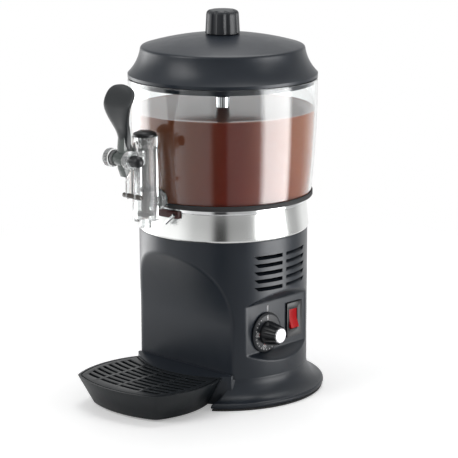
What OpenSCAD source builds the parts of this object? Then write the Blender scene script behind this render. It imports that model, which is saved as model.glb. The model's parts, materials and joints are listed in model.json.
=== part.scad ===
// Counter-top hot chocolate dispenser: a heated base, a clear bowl with a stirrer,
// a lift tap with a spoon lever, a domed lid and a pull-out drip tray.
// Millimetres. Z is up, the tap is at -Y and the controls are at +X.
// The origin is on the bowl's axis, at the level the machine stands on.

/* [Base skirt] */
// Thickness of the rubber ring the machine stands on
foot_h = 2.5; // [2:0.1:3]
// Height of the flared skirt
skirt_h = 30.5; // [29:0.5:32]
// Wall of the skirt
skirt_wall = 3; // [2.6:0.1:3.4]
// Radius of the hollow curve of the flare
flare_curve_r = 25; // [24.5:0.1:25.5]
// Radius of the skirt's rounded lower lip
lip_r = 3.2; // [3.1:0.02:3.3]
// Width of the rubber ring
foot_w = 8; // [6:0.5:9]

/* [Tray pocket and shelf] */
// Half width of the tray pocket at the table
pocket_half_low = 72; // [71:0.5:73]
// Half width of the tray pocket at its top
pocket_half_top = 78; // [77.5:0.1:78.5]
// Radius of the curved wall behind the tray
back_arc_r = 125; // [124:0.5:126]
// How far that curve's centre lies behind the bowl axis
back_arc_y = 26; // [25.5:0.1:26.5]
// Height of the shelf where it meets the casing
shelf_z = 38.5; // [38:0.1:39]
// Fall of the shelf per millimetre towards the tray
shelf_fall = 0.095; // [0.05:0.005:0.12]
// Half width of the slot the tray's tongue goes into
tongue_half = 32; // [25:1:40]
// Height of that slot
tongue_slot_h = 6.5; // [5:0.5:8]
// Height of the slot's lower edge
tongue_slot_z = 8; // [7:0.5:10]

/* [Casing] */
// Outside radius of the casing at its top
casing_r = 103; // [102.6:0.1:103.4]
// How much narrower the casing is at its lower edge
casing_taper = 0.5; // [0:0.1:0.8]
// Height of the casing
casing_h = 168; // [166:1:170]
// Wall of the casing
casing_wall = 3; // [2.6:0.1:3.4]
// Distance of the flat front from the bowl axis
front_y = 67.3; // [66:0.1:69]
// Radius of the cove above the flat front
cove_r = 120; // [118:1:122]
// Height at which the flat front turns into the cove
cove_z = 96; // [94:1:98]
// Ledge inside the casing that carries the chassis plate, below the top edge
ledge_drop = 15; // [14:0.5:16]
// Depth and width of that ledge
ledge_w = 4; // [3.5:0.5:5]

/* [Control panel] */
// Distance of the flat control panel from the bowl axis
panel_x = 88; // [87.5:0.1:88.5]
// Lower edge of the flat panel
panel_low = 61; // [60:0.5:61.5]
// Upper edge of the flat panel
panel_high = 122; // [121:0.5:123]
// Rise of the recess roof per millimetre outwards
roof_slope = 0.9; // [0.7:0.05:1]
// Fall of the recess floor per millimetre outwards
sill_slope = 0.7; // [0.6:0.05:0.8]

/* [Vents] */
// Height of one vent slot
vent_h = 4.8; // [4:0.1:5.4]
// Distance from one vent slot to the next
vent_pitch = 9.55; // [9:0.05:9.8]
// Height of the highest slot's upper edge
vent_top = 182.7; // [180:0.1:183]
// Number of vent slots in a column
vent_rows = 5; // [3:1:5]
// Outer end of the front column
vent_front = 44.5; // [40:0.5:46]
// Outer end of the rear column
vent_rear = 42.7; // [40:0.5:46]
// Where the middle rib starts, towards the front
rib_front = 5.4; // [4:0.1:6]
// Where the middle rib ends, towards the back
rib_rear = 0.9; // [0:0.1:2]
// Slant of each slot's lower outer corner
vent_slant = 5; // [2:0.5:7]

/* [Dial] */
// Position of the dial axis in front of the bowl axis
dial_y = 19.8; // [19:0.1:21]
// Height of the dial axis
dial_z = 84.6; // [84:0.1:88]
// Radius of the numbered skirt
dial_skirt_r = 24.5; // [22:0.5:25]
// clear space behind the dial
dial_gap = 1.5; // [1:0.1:2]
// Thickness of the numbered skirt
dial_skirt_t = 2.6; // [2:0.1:3.5]
// Radius of the grip at the skirt
dial_grip_r = 14.4; // [12:0.1:16]
// Radius of the grip at its end
dial_end_r = 10.6; // [9.5:0.1:11]
// Length of the grip
dial_grip_l = 20.5; // [18:0.5:24]
// Radius of one flute of the grip
dial_flute_r = 3; // [2:0.1:3.4]
// Radius of the spindle
spindle_r = 3; // [2.5:0.1:3.2]

/* [Rocker switch] */
// Front side of the switch frame, behind the bowl axis
bezel_y0 = 17; // [16:0.5:18]
// Rear side of the switch frame
bezel_y1 = 44; // [42:0.5:46]
// Lower side of the switch frame
bezel_z0 = 70; // [68:0.5:74]
// Upper side of the switch frame
bezel_z1 = 113; // [110:0.5:116]
// Thickness of the switch frame
bezel_t = 2.5; // [2:0.1:3]
// Middle of the rocker, behind the bowl axis
rocker_y = 28; // [27:0.1:29]
// Height of the rocker's pivot
rocker_z = 92; // [91:0.1:93]
// Width of the rocker
rocker_w = 13.6; // [12.5:0.1:14]
// Height of the rocker
rocker_h = 23.2; // [22:0.1:24]
// Tilt of the rocker at rest, in degrees
rocker_tilt = 10; // [8:0.5:11]

/* [Band and ring] */
// Height of the steel band
band_h = 33; // [32:0.5:34]
// Outside radius of the band at its top
band_top_r = 101.6; // [101.3:0.1:101.8]
// Outside radius of the band just above its rolled lower edge
band_low_r = 104.4; // [104:0.1:105]
// Sheet of the band
band_t = 1; // [0.8:0.1:1.2]
// Height of the chrome ring
ring_h = 6; // [5.5:0.1:6.5]
// Outside radius of the chrome ring
ring_r = 102.6; // [102:0.1:102.9]

/* [Water tank] */
// Outside radius of the water tank
tank_r = 96.7; // [95.5:0.1:96.9]
// Sheet of the water tank
tank_t = 1.2; // [1:0.1:1.5]
// Thickness of the insulation under the tank
insulation_t = 4; // [3:0.5:5]
// Thickness of the chassis plate
chassis_t = 2; // [1.5:0.1:2.5]
// Radius of the heating loop
loop_r = 70; // [60:1:75]
// Radius of the heating tube
heater_r = 4; // [3:0.25:4.5]

/* [Drive] */
// Radius of the drive shaft
shaft_r = 4; // [3.8:0.05:4.2]
// Running gap around the shaft and the pivot pin
run_gap = 0.05; // [0.02:0.01:0.08]
// Gap between neighbouring parts that come apart
part_gap = 0.3; // [0.2:0.05:0.4]

/* [Bowl] */
// Largest outside radius of the bowl
bowl_r = 115; // [114.5:0.1:115.5]
// Height of that radius above the bowl's underside
belly_h = 136.7; // [134:0.1:139]
// Radius of the bowl wall's slight curve
bow_r = 1163; // [1100:1:1300]
// Height of the bowl
bowl_h = 144.4; // [143:0.1:146]
// Wall of the bowl
bowl_wall = 3; // [2.6:0.1:3.4]
// Rounding of the bowl's lower corner
bowl_round = 4; // [3.5:0.1:4.2]
// Inside radius of the bowl's chimney
chimney_in = 4.9; // [4.8:0.05:5]
// Outside radius of the bowl's chimney
chimney_out = 7; // [6.8:0.05:7.1]
// Height of the chimney above the bowl's underside
chimney_h = 111.7; // [110:0.1:113]

// Height of the gasket around the bowl's foot
gasket_h = 6.2; // [5.5:0.1:6.6]

/* [Stirrer] */
// Outside radius of the stirrer tube
stir_r = 8.2; // [8.1:0.05:8.4]
// Wall of the stirrer tube
stir_wall = 0.8; // [0.6:0.05:0.9]
// Height of the stirrer tube's top above the bowl's underside
stir_top = 121.7; // [119:0.1:123]
// Reach of a stirrer blade
blade_reach = 92; // [80:1:94]
// Width of a stirrer blade
blade_w = 24; // [18:1:26]
// Pitch of a stirrer blade from upright, in degrees
blade_pitch = 28; // [15:1:35]
// Radius of the stirrer's cap
stir_cap_r = 10; // [9.5:0.1:11]
// Height of the stirrer's cap
stir_cap_h = 12.2; // [11:0.1:13]

/* [Lid] */
// Height of the lid above the bowl's rim
lid_h = 51.5; // [50:0.1:53]
// Radius of the lid's crown
crown_r = 340; // [330:5:380]
// Radius of the hollow curve of the lid's side
side_curve_r = 55; // [54:0.5:56]
// Distance of that curve's centre from the axis
side_curve_x = 154; // [153.5:0.1:154.5]
// Height of that curve's centre above the lid's lower edge
side_curve_z = 43; // [42.5:0.1:43.5]
// Rounding of the lid's shoulder
shoulder_r = 4; // [3.5:0.5:6]
// Wall of the lid
lid_wall = 3; // [2.6:0.1:3.2]
// Depth of the lid's inner lip in the bowl
lip_depth = 7; // [5:0.5:9]
// Gap between the inner lip and the bowl wall
lip_clear = 0.7; // [0.5:0.1:1]

/* [Lid knob] */
// Radius of the knob at its foot
knob_r = 21; // [19:0.5:23]
// Radius of the knob below its rounded top
knob_top_r = 19.5; // [17.5:0.5:20]
// Height of the knob
knob_h = 28.5; // [26:0.5:31]
// Number of flutes around the knob
knob_flutes = 8; // [6:1:10]
// Radius of one flute
knob_flute_r = 5; // [4.5:0.25:6]
// Depth of one flute
knob_flute_deep = 1.8; // [1:0.1:2.2]
// Turn of the knob on its screw, in degrees
knob_turn = -9.5; // [-30:0.5:30]

/* [Tap] */
// Distance of the tap tube's axis in front of the bowl axis
tap_y = 133; // [132.8:0.1:134]
// Outside radius of the tap tube
tap_r = 15.3; // [15.1:0.05:15.4]
// Bore radius of the tap tube
tap_bore = 10.5; // [10.2:0.05:10.8]
// Length of the tap tube below its ribbed collar
tap_tube_l = 86.3; // [85.5:0.1:87]
// Height of the ribbed collar
collar_h = 14.1; // [13:0.1:15]
// Thickness of the tap tube's floor
tap_floor = 2.5; // [2:0.1:3]
// Outside radius of the spout
spout_r = 7.5; // [7:0.1:8]
// Bore radius of the spout
spout_bore = 5.2; // [4.5:0.1:5.5]
// Length of the spout
spout_l = 9.2; // [8:0.1:11]
// Height of the neck's axis above the bowl's underside
neck_up = 9.7; // [9.6:0.05:10.2]
// Height of the neck's axis above the tube's lower end
neck_h = 21.5; // [21:0.1:22]
// Outside radius of the neck
neck_r = 8; // [7.6:0.1:8.2]
// Bore radius of the neck
neck_bore = 5.5; // [5:0.1:6]
// Radius of the union nut
nut_r = 12.5; // [12.2:0.1:12.8]

/* [Tap lever] */
// Distance from the piston's axis to the lever's pivot
lever_arm = 38; // [37.5:0.1:38.5]
// Height of the pivot above the neck's axis
pivot_up = 56.9; // [56:0.1:57.5]
// Radius of the pivot pin
pin_r = 3.5; // [3.2:0.1:3.8]
// Radius of the pivot rings
pivot_ring_r = 11; // [10:0.1:12]
// Half width of the lever body
lever_half = 5.5; // [5:0.1:5.6]
// Radius of the lever's boss
boss_r = 7.6; // [7:0.1:8]
// Half width of the lever's boss
boss_half = 8.3; // [7.5:0.1:8.3]
// Radius of the finger that lifts the piston
finger_r = 3; // [2.8:0.05:3.1]
// Half width of the spoon's grip
spoon_half = 23.5; // [21:0.5:25]

/* [Piston] */
// Radius of the piston rod
rod_r = 5; // [4.8:0.1:5.4]
// Running gap of the piston in its bore
piston_gap = 0.08; // [0.03:0.01:0.1]
// Radius of the piston's cap
piston_cap_r = 13.8; // [13:0.1:14.5]
// Height of the piston's cap
piston_cap_h = 6; // [5:0.5:7]

/* [Drip tray] */
// Height of the drip tray's rim above the table
tray_top = 36; // [35:0.1:36.2]
// Wall of the drip tray
tray_wall = 2.5; // [2.2:0.1:3]
// Radius of the tray's front edge
tray_front_r = 148; // [146:0.5:150]
// Distance of the front edge's centre in front of the bowl axis
tray_front_y = 53; // [52:0.5:54]
// Radius of the tray's side edges
tray_side_r = 121; // [120:0.5:122]
// Offset of a side edge's centre from the middle
tray_side_x = 40; // [39.5:0.1:40.5]
// Distance of the side edges' centre in front of the bowl axis
tray_side_y = 128; // [127:0.5:129]
// Rounding of the tray's corners
tray_round = 12; // [8:1:14]
// How much smaller the tray is at its floor
tray_draft = 17; // [14:1:19]
// Gap between the tray and the base
tray_gap = 0.5; // [0.3:0.1:0.8]

/* [Grille] */
// Rim left around the grille
grille_inset = 4.5; // [4:0.1:5.5]
// Thickness of the grille
grille_t = 2.6; // [2:0.1:3.2]
// Width of a grille slot
slot_w = 4.8; // [4:0.2:5.4]
// Plain margin around the slots of the grille
slot_edge = 7; // [5:0.5:8]
// Distance from one grille slot to the next
slot_pitch = 10; // [9:0.5:11]
// Radius of the slots' curve
slot_arc_r = 240; // [200:5:300]
// Number of slot rows
slot_rows = 8; // [6:1:8]
// Width of a rib between the slots
slot_rib = 4; // [3:0.5:6]

/* [Inner pieces] */
// radius of the motor's can
motor_r = 19; // [17:0.5:20]
// length of the motor's can
motor_l = 42.9; // [38:0.1:44]
// radius of the pads under the tray
pad_r = 6; // [5:0.5:7]
// radius of the rocker's stub pins
stub_r = 1.5; // [1:0.1:1.8]
// how far a stub pin stands out of the rocker
stub_reach = 1.1; // [0.8:0.1:1.2]

/* [Hidden] */
// how far a cutting form reaches past the part
past = 400;
$fn = 96;
e = 0.01;

// heights of the stack
skirt_top = foot_h + skirt_h;
casing_top = skirt_top + casing_h;
band_top = casing_top + band_h;
ring_top = band_top + ring_h;
bowl_z = ring_top + part_gap;
rim_z = bowl_z + bowl_h;
lid_z = rim_z + part_gap;
crown_z = lid_z + lid_h;
chassis_z = casing_top - ledge_drop;
insulation_z = chassis_z + chassis_t;
tank_z = insulation_z + insulation_t;

// the casing and the skirt
casing_low_r = casing_r - casing_taper;
flare_cx = casing_low_r + flare_curve_r;
lip_cz = foot_h + lip_r;
lip_cx = flare_cx - sqrt(pow(flare_curve_r + lip_r, 2) - pow(skirt_top - lip_cz, 2));
lip_tan = flare_cx - (flare_cx - lip_cx) * flare_curve_r / (flare_curve_r + lip_r);
skirt_r = lip_cx + lip_r;
skirt_in = lip_cx - 1;
cove_y = front_y + cove_r;
// the holes at the back
inlet_z = 58;
drain_y = 60;
drain_z = 150;
drain_r = 5;

// the bowl
bowl_cx = bowl_r - bow_r;
belly_z = bowl_z + belly_h;
function wall_r(z) = bowl_cx + sqrt(bow_r * bow_r - pow(belly_z - z, 2));
gasket_in = wall_r(bowl_z + gasket_h) + 0.1;
chimney_z = bowl_z + chimney_h;
stir_z = bowl_z + stir_top;
shaft_top = stir_z + 4;
hex_from = stir_z - 7;

// centre of a circle that touches two others
function meet(a, ra, b, rb) =
    let (d = norm(b - a), u = (b - a) / d)
    let (s = (ra * ra - rb * rb + d * d) / (2 * d))
    a + s * u + sqrt(max(0, ra * ra - s * s)) * [-u[1], u[0]];
crown_c = [0, crown_z - crown_r];
side_c = [side_curve_x, lid_z + side_curve_z];
shoulder_c = meet(crown_c, crown_r - shoulder_r, side_c, side_curve_r + shoulder_r);
lid_in = wall_r(lid_z - lip_depth) - bowl_wall - lip_clear;

// the tap
neck_z = bowl_z + neck_up;
tube_z = neck_z - neck_h;
collar_z = tube_z + tap_tube_l;
tap_top = collar_z + collar_h;
pivot_y = tap_y + lever_arm;
pivot_z = neck_z + pivot_up;
boss_face = bowl_r - 4.5;
spigot_end = boss_face + 2;
seal_end = spigot_end + 0.8;
flange_end = seal_end + 1.6;
nut_end = flange_end + 2.6;
piston_r = tap_bore - piston_gap;
slot_half = 3.5;
finger_room = 0.3;

// the panel's parts
dial_x = panel_x + dial_gap;
grip_x = dial_x + dial_skirt_t;
grip_end = grip_x + dial_grip_l;
rocker_x = panel_x - 2;
hole_half_w = rocker_w / 2 + 1.2;
hole_half_h = rocker_h / 2 + 2;

// ---- helpers -------------------------------------------------------------

// a cylinder along X, from x0 to x1, centred on (y, z)
module rod_x(x0, x1, y, z, r) {
    translate([x0, y, z])
        rotate([0, 90, 0])
            cylinder(h = x1 - x0, r = r);
}

// a cylinder along Y, from y0 to y1, centred on (x, z)
module rod_y(y0, y1, x, z, r) {
    translate([x, y1, z])
        rotate([90, 0, 0])
            cylinder(h = y1 - y0, r = r);
}

// a drawing with (y, z) as its axes, extruded along X from x0 to x1
module side_x(x0, x1) {
    translate([x0, 0, 0])
        rotate([90, 0, 90])
            linear_extrude(height = x1 - x0)
                children();
}

// a drawing with (x, z) as its axes, extruded along Y from y0 to y1
module front_y_cut(y0, y1) {
    translate([0, y1, 0])
        rotate([90, 0, 0])
            linear_extrude(height = y1 - y0)
                children();
}

// a block given by its two corners
module block(a, b) {
    translate(a)
        cube(b - a);
}

// a screw along Z: shank below its head
module screw_z(x, y, z, l, r, head_r, head_h) {
    translate([x, y, z - l])
        cylinder(h = l + e, r = r);
    translate([x, y, z])
        difference() {
            cylinder(h = head_h, r = head_r);
            translate([0, 0, head_h - 0.8])
                cylinder(h = 1, r = head_r * 0.5, $fn = 6);
        }
}

// ---- casing and skirt ----------------------------------------------------

// the space in front of the casing: a flat front with a cove above it
module front_space(g) {
    side_x(-150, 150)
        union() {
            translate([-250, -10])
                square([250 - front_y + g, cove_z + 10]);
            difference() {
                translate([-cove_y, cove_z])
                    circle(r = cove_r + g, $fn = 180);
                translate([-past, -past])
                    square([past, past + cove_z]);
            }
        }
}

// the recess that holds the flat control panel
module panel_space(g) {
    front_y_cut(-70, 70)
        polygon([
            [panel_x - g, panel_low - g * 0.5],
            [panel_x - g, panel_high + g * 0.5],
            [panel_x + 30, panel_high + 30 * roof_slope + g * (0.5 + roof_slope)],
            [panel_x + 30, panel_low - 30 * sill_slope - g * (0.5 + sill_slope)]
        ]);
}

module vent_slot(top) {
    side_x(80, 112)
        union() {
            polygon([
                [-vent_front, top],
                [-rib_front, top],
                [-rib_front, top - vent_h],
                [-vent_front + vent_slant, top - vent_h]
            ]);
            polygon([
                [rib_rear, top],
                [vent_rear, top],
                [vent_rear - vent_slant, top - vent_h],
                [rib_rear, top - vent_h]
            ]);
        }
}

module body_casing() {
    color([0.2, 0.22, 0.25])
    difference() {
        union() {
            difference() {
                translate([0, 0, skirt_top])
                    cylinder(h = casing_h, r1 = casing_low_r, r2 = casing_r);
                front_space(0);
                panel_space(0);
                difference() {
                    translate([0, 0, skirt_top - e])
                        cylinder(h = casing_h + 2 * e, r1 = casing_low_r - casing_wall,
                                 r2 = casing_r - casing_wall);
                    front_space(casing_wall);
                    panel_space(casing_wall);
                }
            }
            // ledge for the chassis plate
            translate([0, 0, chassis_z - ledge_w])
                difference() {
                    cylinder(h = ledge_w, r = casing_r - casing_wall + 0.5);
                    translate([0, 0, -e])
                        cylinder(h = ledge_w + 2 * e, r = casing_r - casing_wall - ledge_w);
                }
        }
        for (i = [0 : vent_rows - 1])
            vent_slot(vent_top - i * vent_pitch);
        // dial spindle and switch
        rod_x(panel_x - 10, panel_x + 5, -dial_y, dial_z, spindle_r + 0.8);
        block([panel_x - 10, rocker_y - hole_half_w, rocker_z - hole_half_h],
              [panel_x + 5, rocker_y + hole_half_w, rocker_z + hole_half_h]);
        // cable gland and drain at the back
        rod_y(80, 120, 0, inlet_z, 8);
        rod_y(80, 120, 0, drain_z, drain_r);
        // screws of the chassis plate
        for (a = [30, 150, 270])
            rotate([0, 0, a])
                translate([casing_r - casing_wall - ledge_w / 2, 0, chassis_z - 6])
                    cylinder(h = 10, r = 1.2);
    }
}

// outline of the flare with its rounded lower lip
module flare_outline() {
    union() {
        difference() {
            union() {
                translate([0, foot_h])
                    square([lip_cx, skirt_h]);
                translate([0, lip_cz])
                    square([lip_tan, skirt_top - lip_cz]);
            }
            translate([flare_cx, skirt_top])
                circle(r = flare_curve_r);
        }
        translate([lip_cx, lip_cz + 0.02])
            circle(r = lip_r + 0.02);
    }
}

// inside of the flare
module flare_hollow() {
    difference() {
        translate([0, foot_h - 1])
            square([skirt_in, skirt_h + 2]);
        translate([flare_cx, skirt_top])
            circle(r = flare_curve_r + skirt_wall);
        translate([flare_cx - flare_curve_r - skirt_wall, skirt_top])
            square([60, 10]);
    }
}

// slab between the two drafted sides of the tray pocket
module pocket_slab(g) {
    front_y_cut(-150, -40)
        polygon([
            [-pocket_half_low - g, -1],
            [pocket_half_low + g, -1],
            [pocket_half_top + g, tray_top],
            [pocket_half_top + g, 80],
            [-pocket_half_top - g, 80],
            [-pocket_half_top - g, tray_top]
        ]);
}

// space for the tray, in front of the curved wall
module tray_space(g) {
    difference() {
        pocket_slab(g);
        translate([0, back_arc_y, -20])
            cylinder(h = 120, r = back_arc_r - g, $fn = 180);
    }
}

// the block under the shelf, behind the tray
module shelf_block(g, y_in, y_top) {
    intersection() {
        translate([0, back_arc_y, -20])
            cylinder(h = 120, r = back_arc_r - g, $fn = 180);
        side_x(-pocket_half_top - 1.5 + g, pocket_half_top + 1.5 - g)
            polygon([
                [-140, foot_h - g],
                [y_in, foot_h - g],
                [y_in, skirt_top + g],
                [y_top, skirt_top + g],
                [y_top, shelf_z - g],
                [-140, shelf_z - g - shelf_fall * (140 - front_y)]
            ]);
    }
}

module base_skirt() {
    color([0.2, 0.22, 0.25])
    difference() {
        union() {
            rotate_extrude()
                flare_outline();
            shelf_block(0, -39, -front_y);
        }
        tray_space(0);
        difference() {
            union() {
                rotate_extrude()
                    flare_hollow();
                shelf_block(skirt_wall, -38, 2 - front_y);
            }
            tray_space(skirt_wall);
        }
        // slot for the tray's tongue
        block([-tongue_half, -110, tongue_slot_z],
              [tongue_half, -70, tongue_slot_z + tongue_slot_h]);
    }
}

module cover_plan(g) {
    difference() {
        circle(r = skirt_in - g, $fn = 180);
        difference() {
            translate([-pocket_half_low - skirt_wall - 0.9 - g, -200])
                square([2 * (pocket_half_low + skirt_wall + 0.9 + g), 160]);
            translate([0, back_arc_y])
                circle(r = back_arc_r - skirt_wall - g, $fn = 180);
        }
    }
}

cover_screw_at = [[100, 35], [100, -35], [-100, 35], [-100, -35], [0, 106]];

module bottom_cover() {
    color([0.62, 0.64, 0.66])
    difference() {
        translate([0, 0, foot_h])
            linear_extrude(height = 2)
                cover_plan(0.3);
        for (p = cover_screw_at)
            translate([p[0], p[1], 0])
                cylinder(h = 10, r = 1.5);
        for (i = [-3 : 3])
            block([i * 12 - 2.5, -20, 0], [i * 12 + 2.5, 20, 10]);
    }
}

module foot_ring() {
    color([0.08, 0.08, 0.08])
    difference() {
        cylinder(h = foot_h, r = skirt_r - 1.4, $fn = 180);
        translate([0, 0, -1])
            cylinder(h = foot_h + 2, r = skirt_r - 1.4 - foot_w, $fn = 180);
        translate([-pocket_half_low - 1, -200, -1])
            cube([2 * pocket_half_low + 2, 150, 10]);
    }
}

module cover_screws() {
    color([0.75, 0.75, 0.77])
    for (p = cover_screw_at)
        translate([p[0], p[1], 0])
            union() {
                translate([0, 0, foot_h - 1.6])
                    cylinder(h = 1.6, r = 3);
                translate([0, 0, foot_h - 0.5])
                    cylinder(h = 3.5, r = 1.5);
            }
}

// ---- inside the base -----------------------------------------------------

heater_leg = [[loop_r * cos(200), loop_r * sin(200)], [loop_r * cos(160), loop_r * sin(160)]];
bulb_at = [56, -20];

module chassis_plate() {
    color([0.7, 0.71, 0.72])
    translate([0, 0, chassis_z])
        difference() {
            cylinder(h = chassis_t, r = casing_r - casing_wall - 0.4, $fn = 180);
            translate([0, 0, -1])
                cylinder(h = 10, r = 5);
            for (p = heater_leg)
                translate([p[0], p[1], -1])
                    cylinder(h = 10, r = heater_r);
            translate([bulb_at[0], bulb_at[1], -1])
                cylinder(h = 10, r = 3);
            translate([0, drain_y, -1])
                cylinder(h = 10, r = drain_r);
            for (a = [30, 150, 270])
                rotate([0, 0, a])
                    translate([casing_r - casing_wall - ledge_w / 2, 0, -1])
                        cylinder(h = 10, r = 1.2);
            for (x = [-26, 26], y = [-18, 24])
                translate([x, y, -1])
                    cylinder(h = 10, r = 1.5);
        }
}

module plate_screws() {
    color([0.75, 0.75, 0.77])
    for (a = [30, 150, 270])
        rotate([0, 0, a])
            screw_z(casing_r - casing_wall - ledge_w / 2, 0, insulation_z, 7, 1.2, 1.9, 1.4);
}

module insulation_disc() {
    color([0.85, 0.82, 0.7])
    translate([0, 0, insulation_z])
        difference() {
            cylinder(h = insulation_t, r = tank_r - 4, $fn = 180);
            translate([0, 0, -1])
                cylinder(h = 10, r = 5);
            for (p = heater_leg)
                translate([p[0], p[1], -1])
                    cylinder(h = 10, r = heater_r);
            translate([bulb_at[0], bulb_at[1], -1])
                cylinder(h = 10, r = 3);
            translate([0, drain_y, -1])
                cylinder(h = 10, r = drain_r);
            for (x = [-26, 26], y = [-18, 24])
                translate([x, y, -1])
                    cylinder(h = 10, r = 3.2);
        }
}

module water_tank() {
    color([0.78, 0.79, 0.8])
    difference() {
        rotate_extrude($fn = 180)
            union() {
                translate([5, tank_z])
                    square([tank_r - 5, tank_t]);
                translate([tank_r - tank_t, tank_z])
                    square([tank_t, band_top - tank_z]);
                translate([tank_r - tank_t, band_top - tank_t])
                    square([band_top_r - band_t - 0.3 - tank_r + tank_t, tank_t]);
                translate([5, tank_z])
                    square([tank_t, band_top + 2 - tank_z]);
            }
        for (p = heater_leg)
            translate([p[0], p[1], tank_z - 1])
                cylinder(h = 10, r = heater_r);
        translate([bulb_at[0], bulb_at[1], tank_z - 1])
            cylinder(h = 10, r = 3);
        translate([0, drain_y, tank_z - 1])
            cylinder(h = 10, r = drain_r);
    }
}

module tank_bush() {
    color([0.72, 0.55, 0.3])
    translate([0, 0, chassis_z])
        difference() {
            cylinder(h = band_top + 2 - chassis_z, r = 5);
            translate([0, 0, -1])
                cylinder(h = 80, r = shaft_r + run_gap);
        }
}

module heating_element() {
    color([0.45, 0.42, 0.4])
    union() {
        rotate([0, 0, -160])
            translate([0, 0, tank_z + 12])
                rotate_extrude(angle = 320)
                    translate([loop_r, 0])
                        circle(r = heater_r);
        for (p = heater_leg)
            translate([p[0], p[1], tank_z - 18])
                cylinder(h = 29, r = heater_r);
        for (p = heater_leg)
            translate([p[0], p[1], tank_z + 12])
                sphere(r = heater_r + 0.3);
    }
}

module safety_cutout() {
    color([0.85, 0.85, 0.82])
    union() {
        translate([-54, -38, chassis_z - 8])
            cylinder(h = 8, r = 12);
        translate([-54, -38, chassis_z - 11])
            cylinder(h = 3.1, r = 8);
        block([-61, -39.5, chassis_z - 18], [-60.2, -36.5, chassis_z - 8]);
        block([-47.8, -39.5, chassis_z - 18], [-47, -36.5, chassis_z - 8]);
    }
}

module thermostat() {
    color([0.82, 0.8, 0.72])
    difference() {
        union() {
            block([panel_x - casing_wall - 32, -dial_y - 17, dial_z - 17],
                  [panel_x - casing_wall, -dial_y + 17, dial_z + 17]);
            for (s = [-1, 1])
                block([panel_x - casing_wall - 44, -dial_y + s * 9 - 3, dial_z - 8],
                      [panel_x - casing_wall - 31, -dial_y + s * 9 + 3, dial_z - 7]);
        }
        rod_x(panel_x - casing_wall - 20, panel_x + 5, -dial_y, dial_z, spindle_r + run_gap);
    }
}

module thermostat_bulb() {
    color([0.72, 0.45, 0.3])
    union() {
        translate([bulb_at[0], bulb_at[1], chassis_z - 4])
            cylinder(h = 38, r = 3);
        translate([bulb_at[0], bulb_at[1], dial_z + 17])
            cylinder(h = chassis_z - dial_z - 20, r = 1.2);
    }
}

module gearbox() {
    color([0.55, 0.56, 0.58])
    difference() {
        union() {
            block([-34, -26, chassis_z - 28], [34, 32, chassis_z]);
            translate([0, 0, chassis_z - 31])
                cylinder(h = 3.1, r = 7);
        }
        translate([0, 0, chassis_z - 40])
            cylinder(h = 60, r = shaft_r + run_gap);
        for (x = [-26, 26], y = [-18, 24])
            translate([x, y, chassis_z - 10])
                cylinder(h = 20, r = 1.5);
    }
}

module motor() {
    color([0.3, 0.3, 0.32])
    union() {
        translate([-12, 8, chassis_z - 31.1 - motor_l])
            cylinder(h = motor_l, r = motor_r);
        translate([-12, 8, chassis_z - 31.2])
            cylinder(h = 3.2, r = 6);
        translate([-12, 8, chassis_z - 35.1 - motor_l])
            cylinder(h = 4.1, r = motor_r - 12);
    }
}

module motor_screws() {
    color([0.75, 0.75, 0.77])
    for (x = [-26, 26], y = [-18, 24])
        screw_z(x, y, insulation_z, 10, 1.5, 3, 1.8);
}

module switch_bezel() {
    color([0.12, 0.12, 0.13])
    difference() {
        block([panel_x, bezel_y0, bezel_z0], [panel_x + bezel_t, bezel_y1, bezel_z1]);
        block([panel_x - 1, rocker_y - hole_half_w, rocker_z - hole_half_h],
              [panel_x + 5, rocker_y + hole_half_w, rocker_z + hole_half_h]);
    }
}

module switch_body() {
    color([0.1, 0.1, 0.1])
    difference() {
        union() {
            block([panel_x - 22, rocker_y - hole_half_w, rocker_z - hole_half_h],
                  [panel_x + bezel_t, rocker_y + hole_half_w, rocker_z + hole_half_h]);
            for (s = [-1, 0, 1])
                block([panel_x - 32, rocker_y - 3, rocker_z + s * 8 - 0.4],
                      [panel_x - 21, rocker_y + 3, rocker_z + s * 8 + 0.4]);
        }
        block([panel_x - 9, rocker_y - rocker_w / 2 - 0.4, rocker_z - rocker_h / 2 - 1],
              [panel_x + 10, rocker_y + rocker_w / 2 + 0.4, rocker_z + rocker_h / 2 + 1]);
        // seats of the rocker's stub pins
        rod_y(rocker_y - rocker_w / 2 - stub_reach - 0.2, rocker_y + rocker_w / 2 + stub_reach + 0.2,
              rocker_x, rocker_z, stub_r + run_gap);
    }
}

module power_inlet() {
    color([0.1, 0.1, 0.1])
    difference() {
        union() {
            rod_y(88, casing_low_r + 0.5, 0, inlet_z, 8);
            rod_y(casing_low_r + 0.4, casing_low_r + 2.5, 0, inlet_z, 12);
            rod_y(casing_low_r + 2.4, casing_low_r + 12, 0, inlet_z, 9.5);
            rod_y(85, 88.1, 0, inlet_z, 11);
        }
        rod_y(80, 130, 0, inlet_z, 3.6);
    }
}

module terminal_block() {
    color([0.88, 0.88, 0.85])
    difference() {
        block([-24, 60, foot_h + 2], [24, 78, foot_h + 20]);
        for (i = [-2 : 2])
            translate([i * 9, 65, foot_h + 8])
                cylinder(h = 20, r = 2.4);
        for (i = [-2 : 2])
            rod_y(70, 90, i * 9, foot_h + 13, 2);
    }
}

module drain_tube() {
    color([0.8, 0.8, 0.8])
    difference() {
        union() {
            translate([0, drain_y, drain_z])
                cylinder(h = tank_z + tank_t - drain_z, r = drain_r);
            translate([0, drain_y, drain_z])
                sphere(r = drain_r);
            rod_y(drain_y, casing_r + 6, 0, drain_z, drain_r);
        }
        translate([0, drain_y, drain_z])
            cylinder(h = 80, r = drain_r - 1.5);
        translate([0, drain_y, drain_z])
            sphere(r = drain_r - 1.5);
        rod_y(drain_y, casing_r + 10, 0, drain_z, drain_r - 1.5);
    }
}

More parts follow.
